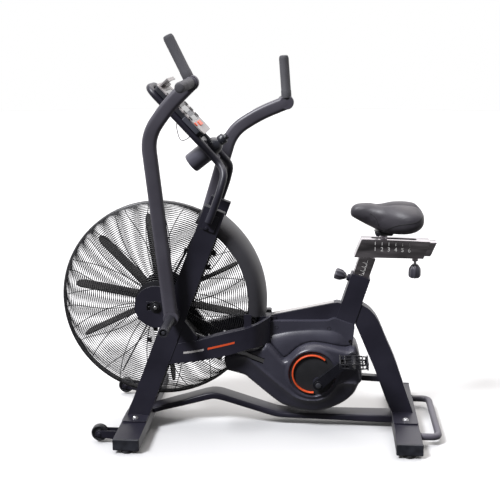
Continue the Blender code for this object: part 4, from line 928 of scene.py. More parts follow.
def make_rear_frame():
    """Upper spine, seat tube, rear post and crank shell."""
    spine = [(0.06, 0.388), (0.072, 0.4085), (0.304, 0.4605), (0.33, 0.455), (0.32, 0.395)]
    block = [(0.031, 0.323), (0.031, 0.403), (0.089, 0.407), (0.089, 0.323)]
    post = flowing_flat([(0.391, 0.455), (0.419, 0.437), (0.448, 0.401), (0.4805, 0.3275),
                         (0.513, 0.254), (0.548, 0.155), (0.583, 0.056)], 3)
    post += flowing_flat([(0.509, 0.056), (0.486, 0.102), (0.443, 0.215), (0.415, 0.2795),
                          (0.387, 0.344), (0.36, 0.405)], 3)
    gusset = [(0.235, 0.197), (0.462, 0.186), (0.468, 0.166), (0.235, 0.177)]
    foot, head = CRANK, (0.335, 0.405)
    dx, dz = head[0] - foot[0], head[1] - foot[1]
    length = math.hypot(dx, dz)
    nx, nz = dz / length * 0.018, -dx / length * 0.018
    strut = [(foot[0] - nx, foot[1] - nz), (foot[0] + nx, foot[1] + nz),
             (head[0] + nx, head[1] + nz), (head[0] - nx, head[1] - nz)]
    boss = Vector((*tube_point(*PIN_PLACE), 0)).xzy
    out = Vector((-TUBE_AXIS[1], 0, TUBE_AXIS[0]))
    cavity = tube_box(-0.16, 0.01, 0.0585, 0.0215)
    seat_tube = carved(tube_box(-0.19, 0.0, 0.068, 0.028), cavity,
                       turned([(0.0056, -0.02), (0.0056, 0.02)], boss, out, 24))
    shell = carved(pin(*CRANK, -0.045, 0.045, 0.022, 48), pin(*CRANK, -0.06, 0.06, 0.0135),
                   pin(*CRANK, -0.06, -0.036, 0.0185), pin(*CRANK, 0.036, 0.06, 0.0185))
    arms = [carved(prism(shape, -half, half), pin(*CRANK, -0.06, 0.06, 0.0205))
            for shape, half in ((strut, 0.012), (gusset, 0.0125))]
    x = REAR_BAR[0]
    plate = rounded(rectangle(x - PLATE_HALF, x + PLATE_HALF, -0.124, 0.124), 0.008)
    collar = turned([(0.0056, -0.003), (0.0125, -0.003), (0.0125, 0.0075), (0.0105, 0.0098),
                     (0.0056, 0.0098)], boss, out, 32, closed=True)
    parts = [carved(prism(spine, -0.02, 0.02), cavity), prism(block, -0.0247, 0.0247),
             seat_tube, carved(prism(post, -0.025, 0.025), cavity), shell, *arms,
             slab(plate, *PLATE_SPAN), collar]
    piece("rear_stand", parts, "frame_paint", "frame", "rear_frame", bevel=0.0038, segments=4)
    base = 0.0575
    seams = [bead([(0.514, side * 0.0258, base), (0.578, side * 0.0258, base)]) for side in (-1, 1)]
    low, high = tube_point(-0.15, 0.0345), tube_point(-0.085, 0.0345)
    seams += [bead([(low[0], side * 0.0262, low[1]), (high[0], side * 0.0262, high[1])], 0.0014)
              for side in (-1, 1)]
    piece("rear_stand_welds", seams, "frame_paint", "frame")
    bolts = [hexagon((x, side * 0.095, BOLT_SEAT), UP, *FOOT_BOLT) for side in (-1, 1)]
    piece("rear_stand_bolts", bolts, "zinc", "frame", bevel=0.0003, segments=2)
    strip = [(0.082, 0.4109), (0.293, 0.4581), (0.2927, 0.4597), (0.0817, 0.4125)]
    piece("frame_strip", prism(strip, -0.0145, 0.0145), "strip", "frame", "spine_trim",
          bevel=0.0006)


# ---------------------------------------------------------------- casing
PLATE = [(0.072, 0.394), (0.175, 0.396), (0.275, 0.398), (0.294, 0.409), (0.368, 0.384),
         (0.364, 0.351), (0.36, 0.31), (0.378, 0.27), (0.392, 0.205), (0.38, 0.17),
         (0.358, 0.133), (0.312, 0.1), (0.243, 0.073), (0.192, 0.075), (0.098, 0.109),
         (0.004, 0.187), (-0.02, 0.203), (-0.08, 0.219), (-0.08, 0.262), (0.04, 0.3),
         (0.066, 0.34)]
BULGE = [(-0.085, 0.215), (-0.022, 0.199), (0.0, 0.183), (0.096, 0.104), (0.145, 0.081),
         (0.192, 0.07), (0.243, 0.068), (0.318, 0.097), (0.365, 0.136), (0.385, 0.177),
         (0.397, 0.205), (0.374, 0.306), (0.336, 0.3065), (0.262, 0.321), (0.215, 0.3235),
         (0.175, 0.309), (0.142, 0.28), (0.125, 0.2665), (0.112, 0.27), (0.061, 0.324),
         (0.03, 0.306), (-0.085, 0.27)]
SWOOSH = [(0.063, 0.34), (0.134, 0.3565), (0.2, 0.364), (0.234, 0.3655), (0.272, 0.3645),
          (0.295, 0.361), (0.318, 0.35), (0.334, 0.332), (0.35, 0.296)]
RIDGE = [(-0.085, 0.29), (-0.014, 0.2735), (0.053, 0.2185), (0.1, 0.179), (0.137, 0.1495),
         (0.162, 0.131), (0.191, 0.1215), (0.215, 0.1195), (0.238, 0.1205), (0.262, 0.1285),
         (0.279, 0.1395), (0.293, 0.159), (0.305, 0.1755), (0.318, 0.185), (0.334, 0.188),
         (0.4, 0.186)]
DISC, DISC_LIP = (0.2205, 0.2175), 0.0845
PLATE_OUT, BULGE_OUT = 0.0448, 0.0938
SCREWS = [(0.092, 0.3715), (0.2775, 0.3715), (0.352, 0.329)]


def densified(points, step, closed=True):
    """Outline cut into even short steps."""
    out = []
    for i, a in enumerate(points if closed else points[:-1]):
        a, b = Vector(a), Vector(points[(i + 1) % len(points)])
        count = max(1, round((b - a).length / step))
        out += [tuple(a.lerp(b, k / count)) for k in range(count)]
    return out


def smoothed(points, step, radius=0.02):
    return densified(rounded(points, radius, 6), step)


def offset(points, distance):
    """Closed outline (anticlockwise) moved inward."""
    out = []
    count = len(points)
    for i in range(count):
        a, b = Vector(points[i - 1]), Vector(points[(i + 1) % count])
        d = (b - a).normalized()
        out.append((points[i][0] - d.y * distance, points[i][1] + d.x * distance))
    return out


def inside(outline, x, z):
    hit = False
    for (x0, z0), (x1, z1) in zip(outline, outline[1:] + outline[:1]):
        if (z0 > z) != (z1 > z) and x < (x1 - x0) * (z - z0) / (z1 - z0) + x0:
            hit = not hit
    return hit


def edge_distance(line, x, z, closed=True):
    """Distance to a polyline and the side on which the point lies."""
    best, sign = 1e9, 1.0
    ends = line[1:] + line[:1] if closed else line[1:]
    for (x0, z0), (x1, z1) in zip(line, ends):
        ex, ez = x1 - x0, z1 - z0
        t = max(0.0, min(1.0, ((x - x0) * ex + (z - z0) * ez) / (ex * ex + ez * ez)))
        qx, qz = x0 + ex * t - x, z0 + ez * t - z
        d = math.hypot(qx, qz)
        if d < best:
            best, sign = d, 1.0 if ex * -qz - ez * -qx > 0 else -1.0
    return best, sign


def step_up(value, low, high):
    t = max(0.0, min(1.0, (value - low) / (high - low)))
    return t * t * (3 - 2 * t)


def casing_height(x, z, bulge, swoosh, ridge):
    """How far the moulding stands out from the middle plane."""
    d_swoosh, above = edge_distance(swoosh, x, z, False)
    below = d_swoosh if above < 0 else 0.0
    plate = PLATE_OUT + 0.017 * (1 - math.exp(-below / 0.02))
    d_bulge, _ = edge_distance(bulge, x, z)
    if not inside(bulge, x, z):
        return plate - 0.0042 * math.exp(-((d_bulge - 0.001) / 0.0024) ** 2)
    t = min(1.0, d_bulge / 0.017)
    top = BULGE_OUT
    d_ridge, way = edge_distance(ridge, x, z, False)
    if way < 0:
        top -= 0.034 * (1 - math.exp(-d_ridge / 0.044))
    else:
        top -= 0.0052 * step_up(d_ridge, -0.003, 0.0088)
    height = plate + (top - plate) * math.sqrt(max(0.0, 1 - (1 - t) ** 2))
    r = math.hypot(x - DISC[0], z - DISC[1])
    blend = DISC_LIP + 0.012
    if r < blend:
        height = height + (BULGE_OUT - height) * step_up(blend - r, 0.0, 0.009)
        height += 0.0012 * math.exp(-((r - DISC_LIP) / 0.003) ** 2)
        height -= 0.006 * step_up(DISC_LIP - r, 0.001, 0.005)
    return height


def make_casing(side, label):
    """Moulded half shell: a height field over the outline, meshed along its own feature lines."""
    plate = smoothed(PLATE[::-1], 0.005, 0.01)
    bulge = densified(flowing_flat(BULGE + BULGE[:1], 4)[:-1], 0.0032)
    swoosh, ridge = flowing_flat(SWOOSH, 5), flowing_flat(RIDGE, 5)
    rim = outer_rim(plate, bulge)
    points = list(rim)
    spacing = 0.0045
    lines = [offset(bulge, d) for d in (-0.0052, -0.0032, -0.0012, 0.0006, 0.0022, 0.0045, 0.008,
                                        0.0125, 0.017)]
    for r in (0.0965, 0.0905, 0.0875, 0.0845, 0.0835, 0.0815, 0.0795, 0.074):
        count = int(2 * math.pi * r / spacing)
        lines.append([(DISC[0] + r * math.cos(2 * math.pi * k / count),
                       DISC[1] + r * math.sin(2 * math.pi * k / count)) for k in range(count)])
    for line, gaps in ((swoosh, (-0.012, -0.006, -0.0025, -0.0008, 0.0008)),
                       (ridge, (-0.012, -0.006, -0.0025, -0.0007, 0.0, 0.0016, 0.0042, 0.0068,
                                0.0088))):
        lines += [offset(densified(line, 0.0032, False), gap)[1:-1] for gap in gaps]
    taken = set()

    def free(x, z, reach=0.0007):
        key = (round(x / reach), round(z / reach))
        if any((key[0] + i, key[1] + j) in taken for i in (-1, 0, 1) for j in (-1, 0, 1)):
            return False
        taken.add(key)
        return True

    for x, z in rim:
        free(x, z)
    for line in lines:
        for x, z in line:
            if inside(rim, x, z) and edge_distance(rim, x, z)[0] > 0.0022 and free(x, z):
                points.append((x, z))
    columns, rows = int(0.5 / spacing), int(0.36 / spacing)
    for i in range(columns):
        for j in range(rows):
            x, z = -0.09 + spacing * (i + 0.5 * (j % 2)), 0.06 + spacing * j
            if inside(rim, x, z) and edge_distance(rim, x, z)[0] > 0.003 and free(x, z, 0.0026):
                points.append((x, z))
    count = len(rim)
    flat, _, faces, *_ = geometry.delaunay_2d_cdt([Vector(p) for p in points],
                                                  [(i, (i + 1) % count) for i in range(count)], [],
                                                  1, 1e-6)
    verts = [Vector((p.x, side * casing_height(p.x, p.y, bulge, swoosh, ridge), p.y)) for p in flat]
    faces = [list(f) for f in faces]
    base = len(verts)
    verts += [Vector((verts[i].x, side * 0.0004, verts[i].z)) for i in range(count)]
    faces += [[i, (i + 1) % count, base + (i + 1) % count, base + i] for i in range(count)]
    shell = carved(thickened((verts, faces), 0.0024, side), rod_mouth(side))
    piece(f"{label}_shell", shell, "casing", "frame", f"{label}_casing", smooth=48)
    make_disc(side, label)


def outer_rim(plate, bulge):
    """Outline of plate and bulge together."""
    centre = Vector((0.17, 0.235))
    rim = []
    for k in range(360):
        a = 2 * math.pi * k / 360
        ray = Vector((math.cos(a), math.sin(a)))
        far = 0.0
        for line in (plate, bulge):
            for p, q in zip(line, line[1:] + line[:1]):
                hit = geometry.intersect_line_line_2d(centre, centre + ray, Vector(p), Vector(q))
                if hit:
                    far = max(far, (hit - centre).length)
        rim.append(tuple(centre + ray * (far - 0.0003)))
    return densified(rim, 0.005)


def rod_mouth(side):
    """Block that clears the push rod where it enters the shell."""
    turn = math.radians(LEVER_ANGLE - (ARM_OFFSET if side > 0 else 0.0))
    start = Vector((PIVOT[0] + LEVER * math.cos(turn), PIVOT[1] + LEVER * math.sin(turn)))
    way = (Vector(CRANK) - start).normalized()
    across = Vector((-way.y, way.x)) * 0.0105
    near, far = start + way * 0.15, start + way * 0.345
    return prism([near - across, far - across, far + across, near + across],
                 *span(side, 0.0755, 0.0898))


def thickened(shape, depth, side):
    """Open surface given a wall on its inner side; its outside faces the given side."""
    open_mesh = mesh_of(shape)
    if sum(face.normal.y * face.area for face in open_mesh.polygons) * side < 0:
        open_mesh.flip_normals()
    item = placed("wall", open_mesh)
    wall = item.modifiers.new("wall", "SOLIDIFY")
    wall.thickness, wall.offset = depth, -1.0
    mesh = evaluated(item)
    bpy.data.objects.remove(item)
    return shape_of(mesh)


def make_disc(side, label):
    """Recessed round cover, its orange ring, the screw holes lined near-black as painted shade, and
    the axle hole trim.
    """
    floor = 0.0886
    cover = turned([(0.0795, floor), (0.0805, floor - 0.0015)], (DISC[0], 0, DISC[1]), (0, side, 0),
                   96)
    cover = carved(cover, pin(*CRANK, *span(side, 0.07, 0.11), 0.0205))
    piece(f"{label}_disc", cover, "disc", "frame", f"{label}_casing", bevel=0.0004, segments=2)
    section = [(0.0655, floor - 0.001), (0.0655, 0.0948), (0.0664, 0.0966), (0.0685, 0.0974),
               (0.0706, 0.0966), (0.0715, 0.0948), (0.0715, floor - 0.001)]
    loops = []
    for k in range(65):
        a = math.radians(50 + 225 * k / 64)
        loops.append([(DISC[0] + r * math.cos(a), side * y, DISC[1] + r * math.sin(a)) for r,
                      y in section])
    piece(f"{label}_arc", loft(loops), "orange", "frame", f"{label}_ring", bevel=0.0006, segments=2)
    # screw holes: near-black cups, painted shade standing in for the shade inside each hole
    shaded_hole_cups = []
    for x, z in SCREWS:
        y = 0.0452 if z > 0.34 else 0.056
        shaded_hole_cups.append(turned([(0.0066, y - 0.004), (0.0066, y), (0.0058, y + 0.0005),
                             (0.005, y - 0.0016), (0.001, y - 0.002)], (x, 0, z), (0, side, 0), 32))
    piece(f"{label}_screw_hole_shade", shaded_hole_cups, "blade", "frame", f"{label}_casing")


# ---------------------------------------------------------------- crank drive
def make_drive():
    """Bearings, axle, pulley, belt and rods of the CAD, and the two cranks."""
    for node in ("crank_left_bearing", "crank_right_bearing", "crank_axle", "left_rod",
                 "right_rod"):
        keep(node, "steel")
    keep("drive_pulley", "trim")
    keep("drive_belt", "belt")
    for side, label in SIDES:
        make_crank(side, label)


def pedal_centre(side):
    a = math.radians(CRANK_ANGLE + (0 if side < 0 else 180))
    return (CRANK[0] + CRANK_LENGTH * math.cos(a), CRANK[1] + CRANK_LENGTH * math.sin(a))


def make_crank(side, label):
    """Crank arm, its cap and the pedal spindle."""
    cx, cz = CRANK
    px, pz = pedal_centre(side)
    lean = math.atan2(pz - cz, px - cx)
    arm = carved(prism(pill((cx, cz), 0.019, (px, pz), 0.0135, lean, 16),
                       *span(side, 0.1055, 0.12)), pin(cx, cz, *span(side, 0.1, 0.13), 0.0103))
    rim = turned([(0.0103, 0.1195), (0.0155, 0.1195), (0.015, 0.1212), (0.0103, 0.1216)],
                 (cx, 0, cz), (0, side, 0), 48, closed=True)
    spindle = turned([(0.0075, 0.119), (0.0075, 0.1275), (0.0058, 0.1285), (0.0058, 0.216)],
                     (px, 0, pz), (0, side, 0), 32)
    piece(f"{label}_crank_arm", [arm, rim], "crank", "crank", f"{label}_crank", bevel=0.0036,
          segments=4)
    cap = turned([(0.0098, 0.1215), (0.0098, 0.1235), (0.0085, 0.1245), (0.003, 0.1248)],
                 (cx, 0, cz), (0, side, 0), 40)
    piece(f"{label}_crank_cap", cap, "trim_soft", "crank", bevel=0.0003, segments=2)
    piece(f"{label}_pedal_spindle", spindle, "zinc", "crank", f"{label}_crank", bevel=0.0003,
          segments=2)
    make_pedal(side, label)


def make_pedal(side, label):
    """Caged platform: toothed front and rear plates, ribs, barrel and dust cap."""
    px, pz = pedal_centre(side)
    long, tall = 0.049, 0.012
    barrel = turned([(0.0064, 0.1285), (0.0105, 0.1285), (0.0118, 0.131), (0.0098, 0.14),
                     (0.0092, 0.175), (0.0098, 0.21), (0.0118, 0.219), (0.01, 0.2215),
                     (0.0064, 0.2215)], (px, 0, pz), (0, side, 0), 32, closed=True)
    shapes = [barrel]
    for way in (-1, 1):
        x0, x1 = sorted((px + way * long, px + way * (long - 0.0045)))
        teeth = []
        count = 9
        for k in range(count):
            y = 0.1345 + (0.218 - 0.1345) * k / (count - 1)
            teeth += [(y - 0.0034, tall - 0.003), (y - 0.0014, tall), (y + 0.0014, tall),
                      (y + 0.0034, tall - 0.003)]
        outline = [(side * y, pz + z) for y, z in teeth] + [(side * y, pz - z) for y,
                                                            z in reversed(teeth)]
        shapes.append(loft([[(x, y, z) for y, z in outline] for x in (x0, x1)]))
        inner = px + way * 0.03
        shapes.append(box(inner - 0.0018, inner + 0.0018, *span(side, 0.133, 0.219), pz - 0.007,
                          pz + 0.007))
    for y0, y1, high in ((0.1318, 0.1362, 0.0105), (0.159, 0.1622, 0.008), (0.19, 0.1932, 0.008),
                         (0.216, 0.2204, 0.0105)):
        end, low = long - 0.002, high - 0.003
        rib = rounded([(px + x, pz + z) for x, z in (
            (-end, -low), (-0.02, -high), (0.02, -high), (end, -low),
            (end, low), (0.02, high), (-0.02, high), (-end, low))], 0.004)
        windows = []
        for way in (-1, 1):
            window = rectangle(px + way * 0.016, px + way * 0.04, pz - 0.0052, pz + 0.0052)
            windows.append(prism(rounded(window, 0.003), *span(side, y0 - 0.01, y1 + 0.01)))
        shapes.append(carved(prism(rib, *span(side, y0, y1)), *windows,
                             pin(px, pz, *span(side, 0.12, 0.23), 0.0066)))
    piece(f"{label}_pedal_cage", shapes, "trim", f"{label}_pedal_body", f"{label}_pedal",
          bevel=0.0007, segments=2)
    studs = []
    for way in (-1, 1):
        for y in (0.146, 0.176, 0.206):
            studs.append(turned([(0.002, 0.006), (0.002, 0.0118), (0.001, 0.0122)],
                                (px + way * 0.03, side * y, pz), UP, 12))
    piece(f"{label}_pedal_studs", studs, "zinc", f"{label}_pedal_body")


# ---------------------------------------------------------------- swing arms and pegs
def turned_back(side, shapes):
    """The right arm's shapes, turned about the pivot to where it rests."""
    if side < 0:
        return shapes
    centre = Matrix.Translation((PIVOT[0], 0, PIVOT[1]))
    turn = centre @ Matrix.Rotation(math.radians(ARM_OFFSET), 4, "Y") @ centre.inverted()
    return [moved(shape, turn) for shape in shapes]


def make_arm(side, label):
    """Swing arm with its lever and grips; the right one rests further back."""
    px, pz = PIVOT
    line = [(-0.264, side * 0.165, 0.4345), (-0.305, side * 0.185, 0.85),
            (-0.326, side * 0.196, 1.06), (-0.256, side * 0.2, 1.158), (-0.18, side * 0.2, 1.232)]
    path = eased(line, 0.055, 12)
    tip_angle = math.radians(LEVER_ANGLE)
    tip = (px + LEVER * math.cos(tip_angle), pz + LEVER * math.sin(tip_angle))
    lever = pill((px, pz), 0.015, tip, 0.0085, tip_angle, 12)
    end = line[-1]
    tube_shape = carved(sweep(path, oval(0.05, 0.028), (0, 1, 0)),
                        pin(px, pz, *span(side, 0.1, 0.22), 0.0262))
    sleeve = [(0.0084, 0.1458), (0.0235, 0.1458), (0.025, 0.1475), (0.025, 0.15), (0.0262, 0.1512),
              (0.0262, 0.1775), (0.025, 0.1795), (0.0084, 0.1795)]
    shaft = [(0.0084, LEVER_IN + 0.001), (0.012, LEVER_IN + 0.001), (0.012, 0.146), (0.0084, 0.146)]
    parts = [tube_shape, turned([(r, side * h) for r, h in sleeve], (px, 0, pz), (0, 1, 0), 64,
                                closed=True), turned([(r, side * h) for r, h in shaft], (px, 0, pz),
                                                     (0, 1, 0), 40, closed=True),
             carved(prism(lever, *span(side, LEVER_IN, LEVER_OUT)),
                    pin(px, pz, *span(side, 0.08, 0.1), 0.0084)),
             pin(tip[0], tip[1], *span(side, ROD_IN - 0.0004, LEVER_IN + 0.002), 0.004, 24),
             turned([(0.0235, -0.0138), (0.0252, -0.012), (0.0252, 0.012), (0.0235, 0.0138)], end,
                    (0, 1, 0), 64), turned([(0.0198, -0.001), (0.0204, 0.0006), (0.02, 0.004),
                                            (0.0186, 0.0052)], (end[0], side * 0.2142, end[2]),
                                           (0, side, 0), 48)]
    piece(f"{label}_swing_tube", turned_back(side, parts), "arm_paint", f"{label}_swing_arm",
          f"{label}_arm", bevel=0.0012, segments=3, smooth=45)
    r = 0.0175
    upright = turned([(r + 0.0008, 0.004), (r + 0.0008, 0.0285), (r, 0.03), (r, 0.142),
                      (r - 0.0008, 0.146), (0.015, 0.1512), (0.0115, 0.1535), (0.006, 0.154)],
                     (end[0] - 0.006, end[1], end[2] + 0.012), (-0.445, 0, 0.896), 56)
    outward = turned([(r, 0.0045), (r, 0.115), (r - 0.001, 0.119), (0.0148, 0.1236),
                      (0.012, 0.1252), (0.006, 0.1258)], (end[0] - 0.001, side * 0.21, end[2]),
                     (-0.15, side, -0.07), 56)
    for shape, name in ((upright, "upright_grip"), (outward, "outer_grip")):
        piece(f"{label}_{name}_sleeve", turned_back(side, [shape]), "grip", f"{label}_swing_arm",
              f"{label}_{name}")


def make_peg(side, label):
    """Ribbed foot peg on the pivot."""
    px, pz = PIVOT
    profile = [(0.0085, 0.1808), (0.015, 0.1808), (0.0163, 0.182), (0.0163, 0.186), (0.0156, 0.187)]
    for k in range(17):
        y = 0.192 + 0.0078 * k
        profile += [(0.0158, y), (0.016, y + 0.0016), (0.016, y + 0.005), (0.0158, y + 0.0066)]
    profile += [(0.016, 0.33), (0.016, 0.3355), (0.015, 0.3368), (0.0122, 0.3368), (0.0114, 0.335),
                (0.0112, 0.329), (0.0085, 0.329)]
    body = turned(profile, (px, 0, pz), (0, side, 0), 56, closed=True)
    core = turned([(0.008, 0.0842), (0.008, 0.33)], (px, 0, pz), (0, side, 0), 28)
    piece(f"{label}_peg", [body, core], "peg", "frame", f"{label}_foot_peg", smooth=50)
    bolt = [hexagon((px, side * 0.33, pz), (0, side, 0), 0.007, 0.0052, 0.0008)]
    piece(f"{label}_peg_bolt", bolt, "trim_soft", "frame", f"{label}_foot_peg", bevel=0.0004,
          segments=2)


# ---------------------------------------------------------------- seat
def numeral(text, size):
    """Flat numeral, in the x-z plane, centred, read from -y."""
    curve = bpy.data.curves.new("numeral", "FONT")
    curve.body, curve.size, curve.extrude = text, size, 0.00025
    curve.align_x, curve.align_y = "CENTER", "CENTER"
    item = bpy.data.objects.new("numeral", curve)
    mesh = bpy.data.meshes.new_from_object(item)
    bpy.data.objects.remove(item)
    verts, faces = shape_of(mesh)
    return [v.xzy for v in verts], faces


def numbered(number, size, side):
    """A numeral that reads from its own side."""
    return moved(numeral(str(number), size), Matrix.Rotation(math.pi if side > 0 else 0.0, 4, "Z"))


def scale_marks(side):
    """Numbers and ticks on one face of the sleeve."""
    shapes = []
    for k in range(6):
        x, top = 0.4305 + 0.0235 * k, 0.6835 - 0.0006 * k
        mark = numbered(k + 1, 0.02, side)
        shapes.append(moved(mark, Matrix.Translation((x, side * 0.0321, top - 0.0255))))
        shapes.append(box(x - 0.0009, x + 0.0009, *span(side, 0.0318, 0.0323), top - 0.011, top))
    return shapes


def post_marks(side):
    """Numbers and lines on one face of the post."""
    shapes = []
    lean = math.atan2(TUBE_AXIS[0], TUBE_AXIS[1])
    for k in range(4):
        x, z = tube_point(0.056 - 0.015 * k, 0.004)
        mark = moved(numbered(k + 1, 0.016, side), Matrix.Rotation(lean, 4, "Y"))
        shapes.append(moved(mark, Matrix.Translation((x, side * 0.0201, z))))
        low = 0.0485 - 0.015 * k
        line = [tube_point(low + s, t) for s, t in ((0, -0.01), (0, 0.004), (0.001, 0.004),
                                                    (0.001, -0.01))]
        shapes.append(prism(line, *span(side, 0.0198, 0.0203)))
    return shapes


def make_seat_post():
    """Post and sleeve, with their cavity, slot, holes, nut and marks."""
    sleeve = prism([(0.359, 0.6275), (0.384, 0.6925), (0.619, 0.687), (0.597, 0.626)], -0.032,
                   0.032)
    cavity = prism(rectangle(0.3835, 0.7, 0.6325, 0.6845), -0.0273, 0.0273)
    slot = slab(rounded(rectangle(0.418, 0.574, -0.0125, 0.0125), 0.01, 6), 0.67, 0.7)
    below = (CLAMP_X, 0, 0)
    sleeve = carved(sleeve, cavity, slot, turned([(0.0053, 0.6), (0.0053, 0.64)], below, UP, 24))
    nut = turned(rectangle(0.0053, 0.011, 0.6115, 0.6265), below, UP, 40, closed=True)
    post = tube_box(-0.09, 0.0735, 0.056, 0.02)
    holes = [turned([(0.0052, -0.05), (0.0052, -0.02)],
                    Vector((*tube_point(0.052 - 0.015 * k, -0.001), 0)).xzy,
                    (TUBE_AXIS[1], 0, -TUBE_AXIS[0]), 20) for k in range(4)]
    post = carved(post, *holes)
    piece("seat_mast", [post, sleeve, nut], "chrome", "seat_column", "seat_post", bevel=0.0016,
          segments=3)
    seam = bead([(0.3845, -0.0195, 0.6262), (0.44, -0.0195, 0.6258)], 0.0016)
    piece("seat_mast_weld", [seam, moved(seam, Matrix.Scale(-1, 4, (0, 1, 0)))], "steel",
          "seat_column")
    for side, label in SIDES:
        piece(f"{label}_scale", scale_marks(side) + post_marks(side), "mark", "seat_column")


def make_slider():
    """Slider inside the sleeve, and the clamp that holds the saddle."""
    body = carved(prism([(0.402, 0.634), (0.402, 0.683), (0.6425, 0.683), (0.621, 0.634)], -0.026,
                        0.026), prism([(0.41, 0.638), (0.41, 0.679), (0.7, 0.679), (0.7, 0.638)],
                                      -0.022, 0.022))
    plug = prism([(0.6375, 0.6795), (0.6415, 0.6795), (0.624, 0.6375), (0.62, 0.6375)], -0.0225,
                 0.0225)
    stem = turned([(0.0098, 0.68), (0.0098, 0.694), (0.009, 0.6955), (0.009, 0.707)],
                  (SADDLE_STEM, 0, 0), UP, 32)
    clamp = hexagon((SADDLE_STEM, 0, 0.6935), UP, 0.0125, 0.006)
    piece("seat_carrier", [body, stem, clamp], "chrome", "seat_carriage", "seat_slider",
          bevel=0.0012, segments=3)
    cradle = prism(rounded([(0.432, 0.703), (0.49, 0.703), (0.496, 0.718), (0.427, 0.718)], 0.005),
                   -0.022, 0.022)
    bolt = pin(0.44, 0.7095, -0.03, 0.03, 0.006, 24)
    nuts = [hexagon((0.44, side * 0.0225, 0.7095), (0, side, 0), 0.0095, 0.007) for side in (-1, 1)]
    piece("seat_cradle", [plug, cradle, bolt, *nuts], "trim", "seat_carriage", "seat_slider",
          bevel=0.001, segments=2)


SADDLE = [  # x, half width, top, underside
    (0.342, 0.009, 0.788, 0.7765), (0.3465, 0.019, 0.7995, 0.768), (0.359, 0.027, 0.809, 0.7615),
    (0.382, 0.033, 0.813, 0.751), (0.412, 0.04, 0.8115, 0.7375), (0.443, 0.053, 0.8095, 0.723),
    (0.472, 0.073, 0.811, 0.7155), (0.502, 0.091, 0.812, 0.714), (0.533, 0.1005, 0.811, 0.715),
    (0.56, 0.1, 0.807, 0.721), (0.579, 0.0905, 0.8, 0.732), (0.59, 0.074, 0.792, 0.746),
    (0.596, 0.046, 0.782, 0.762)]


def saddle_loop(x, wide, top, low, count=56):
    mid, tall = (top + low) / 2, (top - low) / 2
    lobes = step_up(x, 0.4, 0.5) * (1 - step_up(x, 0.58, 0.592))
    loop = []
    for k in range(count):
        a = 2 * math.pi * k / count
        c, s = math.cos(a), math.sin(a)
        y = math.copysign(abs(c) ** 0.78, c) * wide
        z = mid + math.copysign(abs(s) ** 0.74, s) * tall
        if s > 0:
            z += lobes * (0.0035 * math.exp(-((abs(y) - 0.55 * wide) / (0.35 * wide)) ** 2)
                          - 0.03 * math.exp(-(y / 0.021) ** 2)) * s
        loop.append((x, y, z))
    return loop


def make_saddle():
    """Padded cover swollen as cloth, its seams and the pan under it."""
    rows = flowing_rows(SADDLE, 5)
    shape = loft([saddle_loop(*row) for row in rows])
    cover = placed("saddle_cover", mesh_of(shape, "saddle_cover"))
    swell(cover, voxel=0.005, travel=0.0035)
    smooth = cover.modifiers.new("smooth", "SUBSURF")
    smooth.levels = smooth.render_levels = 1
    for face in cover.data.polygons:
        face.use_smooth = True
    dressed(cover, "vinyl", "seat_carriage", "saddle")
    make_seams(cover)
    pan = loft([[(x, y * 0.34, min(z, low + 0.006) - 0.0006) for x, y,
                 z in saddle_loop(x, wide, top, low, 40)] for x, wide, top, low in rows[20:-18]])
    piece("saddle_pan", pan, "trim", "seat_carriage", bevel=0.0008, segments=2)


def swell(cover, voxel, travel):
    """Padded fabric: a cloth run under light pressure, each point's travel capped."""
    remesh = cover.modifiers.new("remesh", "REMESH")
    remesh.mode, remesh.voxel_size = "VOXEL", voxel
    applied(cover)
    rest = [v.co.copy() for v in cover.data.vertices]
    cloth = cover.modifiers.new("cloth", "CLOTH")
    cloth.settings.use_pressure = True
    cloth.settings.uniform_pressure_force = 4.0
    cloth.settings.effector_weights.gravity = 0.0
    cloth.settings.quality = 5
    scene = bpy.context.scene
    for number in range(1, 21):
        scene.frame_set(number)
    applied(cover)
    scene.frame_set(1)
    low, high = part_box("saddle")
    for vert, start in zip(cover.data.vertices, rest):
        step = vert.co - start
        if step.length > travel:
            step *= travel / step.length
        place = start + step
        vert.co = [max(low[i] - 0.006, min(high[i] + 0.006, place[i])) for i in range(3)]


def applied(item):
    """Bake an object's modifiers into its mesh."""
    mesh = evaluated(item)
    item.modifiers.clear()
    item.data = mesh


def make_seams(cover):
    """Sewn seams laid on the finished cover by casting rays from the side."""
    bpy.context.view_layer.update()
    tree = BVHTree.FromObject(cover, bpy.context.evaluated_depsgraph_get())
    skirt = [(0.46, 0.727), (0.482, 0.744), (0.508, 0.756), (0.538, 0.762), (0.564, 0.768),
             (0.585, 0.782)]
    nose = [(0.41, 0.784), (0.422, 0.776), (0.433, 0.762), (0.44, 0.742)]
    shapes = []
    for side in (-1, 1):
        for route in (skirt, nose):
            path = []
            for x, z in flowing_flat(route, 8):
                hit, normal, *_ = tree.ray_cast(Vector((x, side * 0.3, z)), Vector((0, -side, 0)))
                if hit:
                    path.append(hit + normal * 0.0002)
            if len(path) > 4:
                shapes.append(tube(path, 0.0012, 8))
    piece("saddle_seams", shapes, "thread", "seat_carriage")


